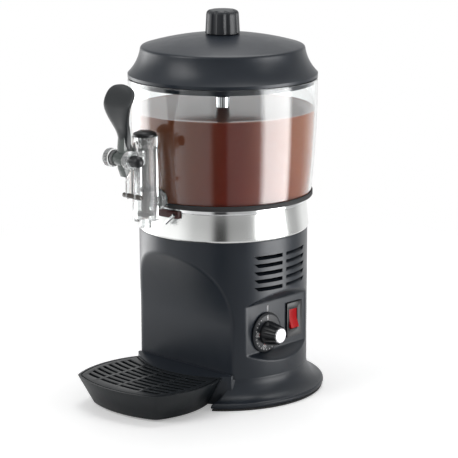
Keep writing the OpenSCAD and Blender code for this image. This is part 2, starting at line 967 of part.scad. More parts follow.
module drain_cap() {
    color([0.1, 0.1, 0.1])
    difference() {
        union() {
            rod_y(casing_r + 0.6, casing_r + 9, 0, drain_z, 8);
            rod_y(casing_r + 8.9, casing_r + 12, 0, drain_z, 6.5);
        }
        rod_y(casing_r, casing_r + 6, 0, drain_z, drain_r);
        for (i = [0 : 11])
            translate([0, casing_r, drain_z])
                rotate([0, i * 30, 0])
                    translate([8.6, 0, 0])
                        rotate([-90, 0, 0])
                            cylinder(h = 12, r = 1.2);
    }
}

module steel_band() {
    color([0.8, 0.81, 0.83])
    difference() {
        rotate_extrude($fn = 180)
            polygon([
                [band_top_r, band_top],
                [band_low_r, casing_top + 2],
                [band_low_r - 1, casing_top + 0.4],
                [band_low_r - 1.6, casing_top],
                [casing_r - casing_wall - 1.6, casing_top],
                [casing_r - casing_wall - 1.6, casing_top + band_t],
                [band_low_r - band_t - 0.5, casing_top + band_t],
                [band_low_r - band_t, casing_top + 2],
                [band_top_r - band_t, band_top]
            ]);
        for (x = [0, 16])
            rod_y(-110, -90, x, band_top - 3.5, 1.5);
    }
}

module chrome_ring() {
    color([0.86, 0.87, 0.88])
    rotate_extrude($fn = 180)
        union() {
            translate([tank_r - tank_t, band_top])
                square([ring_r - 1.5 - tank_r + tank_t, ring_h]);
            translate([ring_r - 1.5 - e, band_top + 1.5])
                square([1.5 + e, ring_h - 3]);
            translate([ring_r - 1.5, band_top + 1.5])
                circle(r = 1.5);
            translate([ring_r - 1.5, ring_top - 1.5])
                circle(r = 1.5);
        }
}

module latch_plate() {
    color([0.25, 0.1, 0.1])
    difference() {
        union() {
            intersection() {
                translate([0, 0, band_top - 6])
                    difference() {
                        cylinder(h = 9, r = 106, $fn = 180);
                        translate([0, 0, -1])
                            cylinder(h = 20, r = ring_r + 0.15, $fn = 180);
                    }
                block([-7, -120, band_top - 10], [25, -80, band_top + 10]);
            }
            for (x = [0, 16])
                rod_y(-103.5, -97.8, x, band_top - 3.5, 1.5);
        }
        rod_y(-120, -90, 21, band_top - 2.3, 1.5 + run_gap);
    }
}

module latch_peg() {
    color([0.8, 0.8, 0.82])
    union() {
        translate([23.2, -108.6, band_top - 0.4])
            rotate([0, -131, 0])
                cylinder(h = 18, r = 2);
        rod_y(-108.6, -100.9, 21, band_top - 2.3, 1.5);
    }
}

// ---- drive and stirrer ---------------------------------------------------

module drive_shaft() {
    color([0.7, 0.71, 0.73])
    union() {
        translate([0, 0, chassis_z - 27])
            cylinder(h = hex_from - chassis_z + 27, r = shaft_r);
        translate([0, 0, hex_from - e])
            cylinder(h = shaft_top - hex_from, r = shaft_r - 0.2, $fn = 6);
    }
}

module stirrer_tube() {
    color([0.85, 0.86, 0.88])
    translate([0, 0, bowl_z + bowl_wall + 3])
        difference() {
            cylinder(h = stir_top - bowl_wall - 3, r = stir_r);
            translate([0, 0, -1])
                cylinder(h = 200, r = stir_r - stir_wall);
        }
}

module stirrer_blades() {
    color([0.2, 0.2, 0.21])
    difference() {
        union() {
            translate([0, 0, bowl_z + bowl_wall + 3])
                cylinder(h = blade_w + 4, r = stir_r + 4);
            for (s = [0, 180])
                rotate([0, 0, s + 35])
                    translate([8, 0, bowl_z + bowl_wall + 5 + blade_w / 2])
                        rotate([blade_pitch, 0, 0])
                            translate([0, -1.2, -blade_w / 2])
                                cube([blade_reach - 8, 2.4, blade_w]);
        }
        translate([0, 0, bowl_z])
            cylinder(h = 60, r = stir_r);
    }
}

module stirrer_cap() {
    color([0.1, 0.1, 0.1])
    translate([0, 0, stir_z - 2.2])
        difference() {
            union() {
                cylinder(h = stir_cap_h - 2, r = stir_cap_r);
                translate([0, 0, stir_cap_h - 2.01])
                    cylinder(h = 2.01, r1 = stir_cap_r, r2 = stir_cap_r - 2);
            }
            translate([0, 0, -1])
                cylinder(h = 3.2, r = stir_r);
            translate([0, 0, 0])
                cylinder(h = 7, r = shaft_r - 0.1, $fn = 6);
        }
}

// ---- bowl ----------------------------------------------------------------

module bowl_outline(g, z0, z1, round_r) {
    difference() {
        intersection() {
            translate([bowl_cx, belly_z])
                circle(r = bow_r - g, $fn = 720);
            translate([0, z0])
                square([150, z1 - z0]);
        }
        difference() {
            translate([wall_r(z0 + round_r) - g - round_r, z0 - 1])
                square([40, round_r + 1]);
            translate([wall_r(z0 + round_r) - g - round_r, z0 + round_r])
                circle(r = round_r);
        }
    }
}

module bowl() {
    color([0.85, 0.88, 0.9, 0.35])
    difference() {
        union() {
            rotate_extrude($fn = 180)
                union() {
                    difference() {
                        bowl_outline(0, bowl_z, rim_z, bowl_round);
                        bowl_outline(bowl_wall, bowl_z + bowl_wall, rim_z + 5, 2);
                    }
                    translate([chimney_in, bowl_z])
                        square([chimney_out - chimney_in, chimney_h]);
                }
            rod_y(-boss_face, -bowl_r + 7.5, 0, neck_z, nut_r - 0.5);
            rod_y(-spigot_end, -boss_face + 1, 0, neck_z, 10);
        }
        translate([0, 0, bowl_z - 1])
            cylinder(h = 60, r = chimney_in);
        rotate_extrude($fn = 180)
            translate([chimney_out + 3, bowl_z + bowl_wall])
                square([95 - chimney_out, 20]);
        rod_y(-130, -85, 0, neck_z, neck_r);
    }
}

module bowl_gasket() {
    color([0.1, 0.1, 0.11])
    difference() {
        rotate_extrude($fn = 180)
            polygon([
                [gasket_in - 8, ring_top + 0.1],
                [gasket_in + 1.2, ring_top + 0.1],
                [gasket_in + 1.5, ring_top + 0.6],
                [gasket_in + 1.5, ring_top + gasket_h - 0.8],
                [gasket_in + 1, ring_top + gasket_h],
                [gasket_in, ring_top + gasket_h],
                [gasket_in, bowl_z],
                [gasket_in - 8, bowl_z]
            ]);
        // room for the tap's boss
        block([-nut_r - 0.3, -130, ring_top - 5], [nut_r + 0.3, -90, ring_top + 20]);
    }
}

module chimney_bush() {
    color([0.9, 0.9, 0.86])
    difference() {
        union() {
            translate([0, 0, chimney_z - 12])
                cylinder(h = 12.01, r = chimney_in);
            translate([0, 0, chimney_z])
                cylinder(h = 1.6, r = chimney_out - 0.3);
        }
        translate([0, 0, chimney_z - 20])
            cylinder(h = 40, r = shaft_r + run_gap);
    }
}

// ---- tap -----------------------------------------------------------------

module tap_body() {
    color([0.86, 0.9, 0.92, 0.35])
    difference() {
        union() {
            translate([0, -tap_y, tube_z])
                cylinder(h = tap_tube_l, r = tap_r);
            translate([0, -tap_y, tube_z - spout_l])
                cylinder(h = spout_l + 1, r = spout_r);
            // neck and its flange
            rod_y(-tap_y, -bowl_r + 13, 0, neck_z, neck_r);
            rod_y(-flange_end, -seal_end, 0, neck_z, 9.8);
            // bracket arms with their eyes
            for (s = [-1, 1])
                side_x(s * 10 - 1.5, s * 10 + 1.5)
                    union() {
                        translate([-pivot_y, pivot_z])
                            circle(r = 9);
                        translate([-pivot_y, pivot_z - 9])
                            square([lever_arm, 9 + collar_z - pivot_z]);
                    }
            // webs that carry the stop pin
            for (s = [-1, 1])
                side_x(s * 7 - 1, s * 7 + 1)
                    polygon([
                        [-tap_y - 10, pivot_z - 51],
                        [-tap_y - 22, pivot_z - 51],
                        [-tap_y - 24.5, pivot_z - 48],
                        [-tap_y - 24.5, pivot_z - 14],
                        [-tap_y - 20, pivot_z - 8],
                        [-tap_y - 10, pivot_z - 8]
                    ]);
        }
        translate([0, -tap_y, tube_z + tap_floor])
            cylinder(h = 120, r = tap_bore);
        translate([0, -tap_y, tube_z - spout_l - 1])
            cylinder(h = 20, r = spout_bore);
        rod_y(-tap_y, -80, 0, neck_z, neck_bore);
        // slot for the lever's finger
        block([-slot_half, -tap_y - 30, pivot_z - 5], [slot_half, -tap_y, collar_z + 1]);
        // bores of the pivot and of the stop pin
        rod_x(-30, 30, -pivot_y, pivot_z, pin_r);
        rod_x(-30, 30, -tap_y - 21, pivot_z - 46.9, 2.9);
    }
}

module tap_collar() {
    color([0.86, 0.9, 0.92, 0.35])
    difference() {
        translate([0, -tap_y, collar_z])
            cylinder(h = collar_h, r = tap_r);
        translate([0, -tap_y, collar_z - 1])
            cylinder(h = 30, r = tap_bore);
        for (i = [0 : 23])
            translate([0, -tap_y, collar_z + 2])
                rotate([0, 0, i * 15])
                    translate([tap_r + 0.5, 0, 0])
                        cylinder(h = collar_h, r = 1.2);
        block([-slot_half, -tap_y - 30, collar_z - 1], [slot_half, -tap_y, collar_z + 8.5]);
    }
}

module tap_nut() {
    color([0.86, 0.9, 0.92, 0.35])
    difference() {
        rod_y(-nut_end, -boss_face, 0, neck_z, nut_r);
        rod_y(-flange_end, -boss_face + 1, 0, neck_z, 10);
        rod_y(-nut_end - 1, -boss_face, 0, neck_z, neck_r);
        translate([0, -tap_y, neck_z - 30])
            cylinder(h = 60, r = tap_r + 0.1);
        for (i = [0 : 11])
            translate([0, -nut_end - 1, neck_z])
                rotate([0, i * 30, 0])
                    translate([nut_r + 0.7, 0, 0])
                        rotate([-90, 0, 0])
                            cylinder(h = 5.5, r = 1.6);
    }
}

module tap_seal() {
    color([0.1, 0.1, 0.1])
    difference() {
        rod_y(-seal_end, -spigot_end, 0, neck_z, 9.8);
        rod_y(-seal_end - 1, -spigot_end + 1, 0, neck_z, neck_r);
    }
}

module stop_pin() {
    color([0.35, 0.31, 0.28])
    rod_x(-14.7, 14.7, -tap_y - 21, pivot_z - 46.9, 2.9);
}

module pivot_pin() {
    color([0.15, 0.15, 0.16])
    difference() {
        union() {
            rod_x(-21.5, 19, -pivot_y, pivot_z, pin_r);
            translate([18.8, -pivot_y, pivot_z])
                rotate([0, 90, 0])
                    rotate_extrude()
                        union() {
                            square([7, 8.2]);
                            square([1, 14.2]);
                            intersection() {
                                translate([0, 8.2])
                                    circle(r = 7);
                                translate([0, 8])
                                    square([8, 8]);
                            }
                        }
        }
        for (i = [0 : 7])
            translate([20.5, -pivot_y, pivot_z])
                rotate([i * 45, 0, 0])
                    translate([0, 7.7, 0])
                        rotate([0, 90, 0])
                            cylinder(h = 6, r = 1.2);
    }
}

module pivot_rings() {
    color([0.86, 0.9, 0.92, 0.35])
    for (s = [[11.6, 18.7], [-20.5, -13]])
        difference() {
            rod_x(s[0], s[1], -pivot_y, pivot_z, pivot_ring_r);
            rod_x(s[0] - 1, s[1] + 1, -pivot_y, pivot_z, pin_r);
            for (i = [0 : 17])
                translate([s[0] + 1.4, -pivot_y, pivot_z])
                    rotate([i * 20, 0, 0])
                        translate([0, pivot_ring_r + 0.4, 0])
                            rotate([0, 90, 0])
                                cylinder(h = s[1] - s[0] - 2.8, r = 1.1);
        }
}

module pivot_washer() {
    color([0.06, 0.06, 0.06])
    difference() {
        rod_x(-12.9, -11.6, -pivot_y, pivot_z, 9.5);
        rod_x(-14, -10, -pivot_y, pivot_z, pin_r);
    }
}

// the lever's outline seen from the side
module lever_body() {
    color([0.35, 0.39, 0.38])
    difference() {
        union() {
            side_x(-lever_half, lever_half)
                polygon([
                    [-pivot_y, pivot_z + 29.1],
                    [-pivot_y - 1.5, pivot_z + 14],
                    [-pivot_y - 1.5, pivot_z - 11],
                    [-pivot_y + 3, pivot_z - 21.9],
                    [-pivot_y + 11, pivot_z - 11],
                    [-pivot_y + 18.5, pivot_z - 4],
                    [-pivot_y + 18.5, pivot_z + 4],
                    [-pivot_y + 12, pivot_z + 14.6]
                ]);
            rod_x(-boss_half, boss_half, -pivot_y, pivot_z, boss_r);
            side_x(-2.4, 2.4)
                polygon([
                    [-pivot_y + 16, pivot_z - 3.2],
                    [-tap_y - 10, pivot_z - 1.6],
                    [-tap_y, pivot_z - 1.6],
                    [-tap_y, pivot_z + 1.6],
                    [-tap_y - 10, pivot_z + 1.6],
                    [-pivot_y + 16, pivot_z + 3.2]
                ]);
            rod_x(-2.4, 2.4, -tap_y, pivot_z, finger_r);
        }
        rod_x(-30, 30, -pivot_y, pivot_z, pin_r + run_gap);
    }
}

module lever_grip() {
    color([0.16, 0.17, 0.18])
    intersection() {
        side_x(-40, 40)
            polygon([
                [-pivot_y, pivot_z + 29.1],
                [-pivot_y - 5.4, pivot_z + 40.1],
                [-pivot_y - 8, pivot_z + 48],
                [-pivot_y - 9.4, pivot_z + 55.1],
                [-pivot_y - 9.4, pivot_z + 60.5],
                [-pivot_y - 8.2, pivot_z + 65.1],
                [-pivot_y - 5.2, pivot_z + 71],
                [-pivot_y - 1.7, pivot_z + 76.1],
                [-pivot_y + 0.3, pivot_z + 81.5],
                [-pivot_y + 1.2, pivot_z + 87.3],
                [-pivot_y + 4.7, pivot_z + 87.1],
                [-pivot_y + 4.3, pivot_z + 82],
                [-pivot_y + 2.3, pivot_z + 76.6],
                [-pivot_y - 0.7, pivot_z + 70.5],
                [-pivot_y - 2.6, pivot_z + 65.1],
                [-pivot_y - 2.2, pivot_z + 55.1],
                [-pivot_y + 3.9, pivot_z + 40.1],
                [-pivot_y + 11.7, pivot_z + 29.1],
                [-pivot_y + 12, pivot_z + 14.6]
            ]);
        front_y_cut(-220, -120)
            polygon(concat(
                [for (p = spoon_edge) [p[0] * spoon_half, pivot_z + p[1]]],
                [for (i = [len(spoon_edge) - 1 : -1 : 0])
                    [-spoon_edge[i][0] * spoon_half, pivot_z + spoon_edge[i][1]]]
            ));
    }
}
spoon_edge = [
    [0.24, 10], [0.27, 22], [0.34, 30], [0.52, 40.1], [0.68, 48], [0.82, 55.1],
    [0.96, 65.1], [1, 70], [1, 74], [0.97, 78], [0.89, 81], [0.75, 83.6],
    [0.55, 85.8], [0.3, 87.1], [0.08, 87.4]
];

// ---- piston --------------------------------------------------------------

module piston() {
    color([0.3, 0.27, 0.25])
    difference() {
        union() {
            translate([0, -tap_y, neck_z - 17])
                cylinder(h = tap_top - neck_z + 17, r = rod_r);
            translate([0, -tap_y, neck_z - 15])
                cylinder(h = 3.2, r = piston_r);
            translate([0, -tap_y, neck_z + 14])
                cylinder(h = 3.6, r = piston_r);
            translate([0, -tap_y, tap_top - 9])
                cylinder(h = 4, r = piston_r);
        }
        // seats of the two sealing rings
        for (z = [neck_z - 14.2, neck_z + 15])
            translate([0, -tap_y, z])
                difference() {
                    cylinder(h = 1.6, r = piston_r + 1);
                    translate([0, 0, -1])
                        cylinder(h = 4, r = piston_r - 1.6);
                }
        // cross slot for the lever's finger
        block([-3, -tap_y - 20, pivot_z - finger_r - finger_room],
              [3, -tap_y + 20, pivot_z + finger_r + finger_room]);
    }
}

module piston_seals() {
    color([0.06, 0.06, 0.06])
    for (z = [neck_z - 14.2, neck_z + 15])
        translate([0, -tap_y, z])
            difference() {
                cylinder(h = 1.6, r = piston_r);
                translate([0, 0, -1])
                    cylinder(h = 4, r = piston_r - 1.6);
            }
}

module piston_cap() {
    color([0.08, 0.08, 0.08])
    difference() {
        translate([0, -tap_y, tap_top + 0.2])
            union() {
                cylinder(h = piston_cap_h - 3.5, r = piston_cap_r);
                translate([0, 0, piston_cap_h - 3.51])
                    cylinder(h = 1.6, r1 = piston_cap_r, r2 = piston_cap_r - 1.2);
                translate([0, 0, piston_cap_h - 1.92])
                    cylinder(h = 1.92, r1 = piston_cap_r - 1.2, r2 = piston_cap_r - 5.5);
            }
        translate([0, -tap_y, tap_top - 5])
            cylinder(h = 5, r = rod_r);
    }
}

// ---- lid -----------------------------------------------------------------

module lid_outline(g) {
    difference() {
        intersection() {
            translate(crown_c)
                circle(r = crown_r - g, $fn = 720);
            translate([0, lid_z])
                square([bowl_r - g, lid_h + 10]);
        }
        translate(side_c)
            circle(r = side_curve_r + g, $fn = 180);
        difference() {
            polygon([
                shoulder_c,
                shoulder_c + shoulder_r * (shoulder_c - crown_c) / norm(shoulder_c - crown_c),
                [bowl_r, crown_z + 10],
                [bowl_r, shoulder_c[1]],
                shoulder_c + shoulder_r * (side_c - shoulder_c) / norm(side_c - shoulder_c)
            ]);
            translate(shoulder_c)
                circle(r = shoulder_r - g);
        }
    }
}

module lid() {
    color([0.2, 0.22, 0.25])
    difference() {
        rotate_extrude($fn = 180)
            union() {
                difference() {
                    lid_outline(0);
                    intersection() {
                        lid_outline(lid_wall);
                        translate([0, lid_z + 2.5])
                            square([200, 100]);
                    }
                    translate([-1, lid_z - 1])
                        square([lid_in - 2.5 + 1, 5]);
                }
                translate([lid_in - 2.5, lid_z - lip_depth])
                    square([2.5, lip_depth + 0.5]);
            }
        translate([0, 0, crown_z - 20])
            cylinder(h = 40, r = 3);
    }
}

module lid_knob() {
    color([0.16, 0.17, 0.19])
    difference() {
        rotate_extrude()
            union() {
                polygon([
                    [0, crown_z + 0.1],
                    [knob_r - 1, crown_z + 0.1],
                    [knob_r, crown_z + 1.2],
                    [knob_r, crown_z + 3.5],
                    [knob_top_r, crown_z + knob_h - 5],
                    [knob_top_r - 5, crown_z + knob_h - 5],
                    [knob_top_r - 5, crown_z + knob_h],
                    [0, crown_z + knob_h]
                ]);
                translate([knob_top_r - 5, crown_z + knob_h - 5])
                    circle(r = 5);
            }
        for (i = [0 : knob_flutes - 1])
            rotate([0, 0, knob_turn + (i + 0.5) * 360 / knob_flutes])
                translate([knob_r + knob_flute_r - knob_flute_deep, 0, crown_z - 2])
                    rotate([0, -3.2, 0])
                        cylinder(h = 45, r = knob_flute_r);
        translate([0, 0, crown_z - 1])
            cylinder(h = 15, r = 3);
    }
}

module knob_screw() {
    color([0.75, 0.75, 0.77])
    translate([0, 0, crown_z - lid_wall])
        difference() {
            union() {
                translate([0, 0, -1])
                    cylinder(h = lid_wall + 13, r = 3);
                translate([0, 0, -2.6])
                    cylinder(h = 2.5, r = 6);
            }
            translate([0, 0, -3])
                cylinder(h = 1.6, r = 3, $fn = 6);
        }
}

// ---- dial and rocker -----------------------------------------------------

module dial_spindle() {
    color([0.7, 0.7, 0.72])
    rod_x(panel_x - casing_wall - 18, grip_x + 8, -dial_y, dial_z, spindle_r);
}

module dial_skirt() {
    color([0.13, 0.13, 0.14])
    difference() {
        union() {
            rod_x(dial_x, dial_x + 1.2, -dial_y, dial_z, dial_skirt_r);
            translate([dial_x + 1.2 - e, -dial_y, dial_z])
                rotate([0, 90, 0])
                    cylinder(h = dial_skirt_t - 1.2 + e, r1 = dial_skirt_r,
                             r2 = dial_skirt_r - 2.5);
        }
        rod_x(dial_x - 1, grip_x + 1, -dial_y, dial_z, spindle_r);
    }
}

module dial_grip() {
    color([0.1, 0.1, 0.11])
    difference() {
        union() {
            translate([grip_x, -dial_y, dial_z])
                rotate([0, 90, 0])
                    cylinder(h = dial_grip_l, r1 = dial_grip_r, r2 = dial_end_r);
        }
        for (i = [0 : 7])
            translate([grip_x + 4, -dial_y, dial_z])
                rotate([i * 45 + 22.5, 0, 0])
                    translate([0, dial_grip_r + 1.7, 0])
                        rotate([0, 90, 0])
                            cylinder(h = 40, r = dial_flute_r);
        rod_x(grip_x - 1, grip_x + 8, -dial_y, dial_z, spindle_r);
        rod_x(grip_end - 1, grip_end + 1, -dial_y, dial_z, dial_end_r - 1.2);
    }
}

module dial_cap() {
    color([0.8, 0.8, 0.82])
    union() {
        rod_x(grip_end - 1, grip_end + 0.3, -dial_y, dial_z, dial_end_r - 1.2);
        translate([grip_end + 0.29, -dial_y, dial_z])
            rotate([0, 90, 0])
                cylinder(h = 0.7, r1 = dial_end_r - 1.2, r2 = dial_end_r - 2.2);
    }
}

module rocker_switch() {
    color([0.8, 0.08, 0.08])
    translate([rocker_x, rocker_y, rocker_z])
        rotate([0, -rocker_tilt, 0])
            union() {
                front_y_cut(-rocker_w / 2, rocker_w / 2)
                    polygon([
                        [-4, -rocker_h / 2 + 1],
                        [6, -rocker_h / 2],
                        [4, 0],
                        [6, rocker_h / 2],
                        [-4, rocker_h / 2 - 1]
                    ]);
                // stub pins that the rocker turns on
                rod_y(-rocker_w / 2 - stub_reach, rocker_w / 2 + stub_reach, 0, 0, stub_r);
            }
}

// ---- drip tray -----------------------------------------------------------

module tray_plan(g) {
    offset(r = tray_round)
        offset(delta = -tray_round)
            intersection() {
                translate([0, -tray_front_y])
                    circle(r = tray_front_r - g);
                translate([-tray_side_x, -tray_side_y])
                    circle(r = tray_side_r - g);
                translate([tray_side_x, -tray_side_y])
                    circle(r = tray_side_r - g);
                translate([-150, -250])
                    square([300, 250 - 60 - g]);
            }
}

module tray_form(g, z0, z1) {
    hull() {
        translate([0, 0, z1 - 0.5])
            linear_extrude(height = 0.5)
                tray_plan(g);
        translate([0, 0, z0])
            linear_extrude(height = 0.5)
                tray_plan(g + tray_draft);
    }
}

tray_back_r = back_arc_r + tray_gap;

module drip_tray() {
    color([0.14, 0.15, 0.16])
    difference() {
        union() {
            difference() {
                tray_form(0, foot_h, tray_top);
                difference() {
                    tray_form(tray_wall, foot_h + tray_wall, tray_top + 1);
                    translate([0, back_arc_y, 0])
                        cylinder(h = 60, r = tray_back_r + tray_wall, $fn = 180);
                }
            }
            block([-tongue_half + 0.5, -tray_back_r + back_arc_y - 3, tongue_slot_z + 0.5],
                  [tongue_half - 0.5, -tray_back_r + back_arc_y + 18,
                   tongue_slot_z + tongue_slot_h - 0.5]);
        }
        difference() {
            translate([0, back_arc_y, -1])
                cylinder(h = 60, r = tray_back_r, $fn = 180);
            block([-tongue_half + 0.5, -tray_back_r + back_arc_y - 3, tongue_slot_z + 0.5],
                  [tongue_half - 0.5, -tray_back_r + back_arc_y + 18,
                   tongue_slot_z + tongue_slot_h - 0.5]);
        }
        // step the grille lies in
        intersection() {
            translate([0, 0, tray_top - grille_t])
                linear_extrude(height = 20)
                    tray_plan(grille_inset - part_gap);
            difference() {
                block([-100, -250, 0], [100, 0, 60]);
                translate([0, back_arc_y, -1])
                    cylinder(h = 80, r = tray_back_r + grille_inset - part_gap, $fn = 180);
            }
        }
    }
}

module tray_pads() {
    color([0.06, 0.06, 0.06])
    for (p = [[-38, -165], [38, -165], [-38, -115], [38, -115]])
        translate([p[0], p[1], 0])
            cylinder(h = foot_h, r = pad_r);
}

module drip_grille() {
    color([0.12, 0.13, 0.14])
    translate([0, 0, tray_top - grille_t])
        linear_extrude(height = grille_t)
            difference() {
                tray_plan(grille_inset);
                translate([0, back_arc_y])
                    circle(r = tray_back_r + grille_inset, $fn = 180);
                intersection() {
                    difference() {
                        tray_plan(grille_inset + slot_edge);
                        translate([0, back_arc_y])
                            circle(r = tray_back_r + grille_inset + 4, $fn = 180);
                        for (x = [-35, 0, 35])
                            translate([x - slot_rib / 2, -250])
                                square([slot_rib, 250]);
                    }
                    union()
                        for (i = [0 : slot_rows - 1])
                            translate([0, -180 + i * slot_pitch + slot_arc_r])
                                difference() {
                                    circle(r = slot_arc_r + slot_w / 2, $fn = 360);
                                    circle(r = slot_arc_r - slot_w / 2, $fn = 360);
                                    translate([-past, 0])
                                        square([2 * past, past]);
                                }
                }
            }
}

body_casing();
base_skirt();
bottom_cover();
foot_ring();
cover_screws();
chassis_plate();
plate_screws();
insulation_disc();
water_tank();
tank_bush();
steel_band();
chrome_ring();
heating_element();
safety_cutout();
thermostat();
thermostat_bulb();
gearbox();
motor();
motor_screws();
switch_bezel();
switch_body();
power_inlet();
terminal_block();
drain_tube();
drain_cap();
latch_plate();
drive_shaft();
stirrer_tube();
stirrer_blades();
stirrer_cap();
bowl();
bowl_gasket();
chimney_bush();
tap_body();
tap_collar();
tap_nut();
tap_seal();
stop_pin();
pivot_pin();
pivot_rings();
pivot_washer();
lid();
lid_knob();
knob_screw();
piston();
piston_seals();
piston_cap();
lever_body();
lever_grip();
dial_spindle();
dial_skirt();
dial_grip();
dial_cap();
rocker_switch();
drip_tray();
tray_pads();
drip_grille();
latch_peg();
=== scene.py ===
"""Looks of the counter-top hot chocolate dispenser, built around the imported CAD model.

All lengths in the piece tables are millimetres and become metres in the meshes.
Z is up along the bowl's axis, the tap is at -Y and the controls are at +X.
"""

import json
import math

import bmesh
import bpy
import numpy as np
from mathutils import Matrix, Vector

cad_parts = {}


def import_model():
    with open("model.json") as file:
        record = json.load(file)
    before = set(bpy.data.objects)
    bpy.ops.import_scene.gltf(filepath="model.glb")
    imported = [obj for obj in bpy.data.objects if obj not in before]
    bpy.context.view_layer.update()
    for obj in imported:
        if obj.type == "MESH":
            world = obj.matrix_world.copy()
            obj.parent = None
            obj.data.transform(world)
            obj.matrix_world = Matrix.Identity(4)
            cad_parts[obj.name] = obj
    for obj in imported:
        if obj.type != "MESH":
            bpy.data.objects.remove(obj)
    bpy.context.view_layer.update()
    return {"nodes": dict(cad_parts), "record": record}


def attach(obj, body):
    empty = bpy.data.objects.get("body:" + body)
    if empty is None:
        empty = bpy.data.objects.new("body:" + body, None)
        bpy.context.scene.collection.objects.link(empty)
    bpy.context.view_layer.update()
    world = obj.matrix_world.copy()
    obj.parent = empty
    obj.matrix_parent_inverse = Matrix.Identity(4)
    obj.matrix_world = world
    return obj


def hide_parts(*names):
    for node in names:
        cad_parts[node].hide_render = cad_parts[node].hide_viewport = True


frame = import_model()
MM = 0.001

# ---------------------------------------------------------------- sizes (mm)
# casing: r and z of the round wall, then the flat front, its cove and the control recess;
# ROOF and SILL are the rise over run of the recess's upper and lower slopes
CASING_R, CASING_LOW_R, CASING_Z0, CASING_Z1, WALL = 103.0, 102.5, 33.0, 201.0, 3.0
FRONT_Y, COVE_R, COVE_Z = 67.3, 120.0, 96.0
PANEL_X, PANEL_LOW, PANEL_HIGH, ROOF, SILL = 88.0, 61.0, 122.0, 0.9, 0.7
FRONT_SOFT, PANEL_SOFT, SLOPE_SOFT, TOP_ROUND = 3.2, 1.5, 0.8, 1.2
# vents: rows, top edge of the first, step, height, and how far a slot's end slants
VENT_ROWS, VENT_TOP, VENT_PITCH, VENT_H, VENT_SLANT = 5, 182.7, 9.55, 4.8, 5.0
LOUVRE_R, LOUVRE_IN_R, LOUVRE_RISE, LOUVRE_T = 102.2, 98.6, 2.9, 0.9
# holes in the recess: y from and to, z from and to
SWITCH_HOLE, SHAFT_HOLE = (20.0, 36.0, 78.4, 105.6), (-23.6, -16.0, 80.8, 88.4)
# x from where the cutters start, and where those of the vents and of the holes end
CUT_X0, VENT_CUT_X1, HOLE_CUT_X1 = 78.0, 112.0, 96.0
# bowl, the post in its middle, and the drink round that post
BOWL_Z, RIM_Z, BELLY_Z, BOWL_R, BOW_R, BOWL_T = 240.3, 384.7, 377.0, 115.0, 1163.0, 3.0
RIM_R, HEEL_R, POST_BORE_R, POST_R, POST_TOP = 1.2, 2.5, 4.9, 7.0, 352.0
DRINK_Z, DRINK_GAP, DRINK_BORE_R, DRINK_FLOOR_Z, DRINK_FLOOR_R = 347.0, 3.12, 8.3, 243.5, 95.0
# lid: dome, rounded shoulder, hollow side and the lip inside the bowl, then the knob and
# its flutes; the knob's turn is in degrees
LID_Z, LID_R, LID_T, CROWN_Z, CROWN_R, SHOULDER_R = 385.0, 115.0, 3.0, 436.5, 340.0, 4.0
LID_SIDE_X, LID_SIDE_Z, LID_SIDE_R = 154.0, 43.0, 55.0
LIP_IN_R, LIP_OUT_R, LIP_DEEP = 108.4, 110.9, 7.0
KNOB_R, KNOB_TOP_R, KNOB_H, KNOB_TURN = 20.9, 19.3, 28.5, -9.5
KNOB_FLUTES, KNOB_FLUTE_R, KNOB_FLUTE_DEEP, KNOB_FLUTE_HALF = 8, 5.0, 1.8, 3.8
KNOB_CROWN_R = 15.0
# height of the tap's neck
NECK_Z = 250.0
# dial: centre, number skirt and fluted grip; a flute's half width is a share of its step
DIAL_Y, DIAL_Z, DIAL_FOOT, DIAL_R = 19.8, 84.6, 89.5, 24.5
GRIP_FOOT, GRIP_END, GRIP_R, GRIP_TIP_R, DISC_SEAT_R = 92.1, 112.6, 14.4, 10.8, 9.2
GRIP_COLLAR_R, GRIP_COLLAR_H = 14.2, 3.0
GRIP_FLUTES, GRIP_FLUTE_DEEP, GRIP_FLUTE_HALF = 8, 1.7, 0.27
# the faces of a print on the dial's skirt
PRINT_LOW, PRINT_HIGH = GRIP_FOOT - 0.02, GRIP_FOOT + 0.06
# where the picture is taken from, in radians, metres and millimetres of lens
AZ, EL, ROLL = math.radians(43.5), math.radians(12.24), math.radians(-0.195)
TARGET, DISTANCE, LENS, SHIFT = Vector((0.0, 0.0, 0.2325)), 2.578, 165.6, (0.0127, -0.0659)


def wall_r(z):
    """Outside radius of the bowl at a height."""
    return BOWL_R - BOW_R + math.sqrt(BOW_R ** 2 - (BELLY_Z - z) ** 2)


# ---------------------------------------------------------- shader expressions
class Num:
    """A number in a finish's node tree; arithmetic on it adds Math nodes."""

    def __init__(self, finish, socket):
        self.finish, self.socket = finish, socket

    def _math(self, operation, *terms):
        return self.finish.add("ShaderNodeMath", {"operation": operation},
                               dict(enumerate(terms)))[0]

    def __add__(self, other):
        return self._math("ADD", self, other)

    __radd__ = __add__

    def __sub__(self, other):
        return self._math("SUBTRACT", self, other)

    def __rsub__(self, other):
        return self._math("SUBTRACT", other, self)

    def __mul__(self, other):
        return self._math("MULTIPLY", self, other)

    __rmul__ = __mul__

    def __truediv__(self, other):
        return self._math("DIVIDE", self, other)

    def __pow__(self, other):
        return self._math("POWER", self, other)

    def at_least(self, other):
        return self._math("MAXIMUM", self, other)

    def at_most(self, other):
        return self._math("MINIMUM", self, other)

    def size(self):
        return self._math("ABSOLUTE", self)

    def fraction(self):
        return self._math("FRACT", self)

    def angle_from(self, other):
        return self._math("ARCTAN2", self, other)

    def ramp(self, low, high):
        """0 below low, 1 above high, straight between."""
        return self.finish.add("ShaderNodeMapRange", {"clamp": True},
                               {0: self, 1: low, 2: high, 3: 0.0, 4: 1.0})[0]


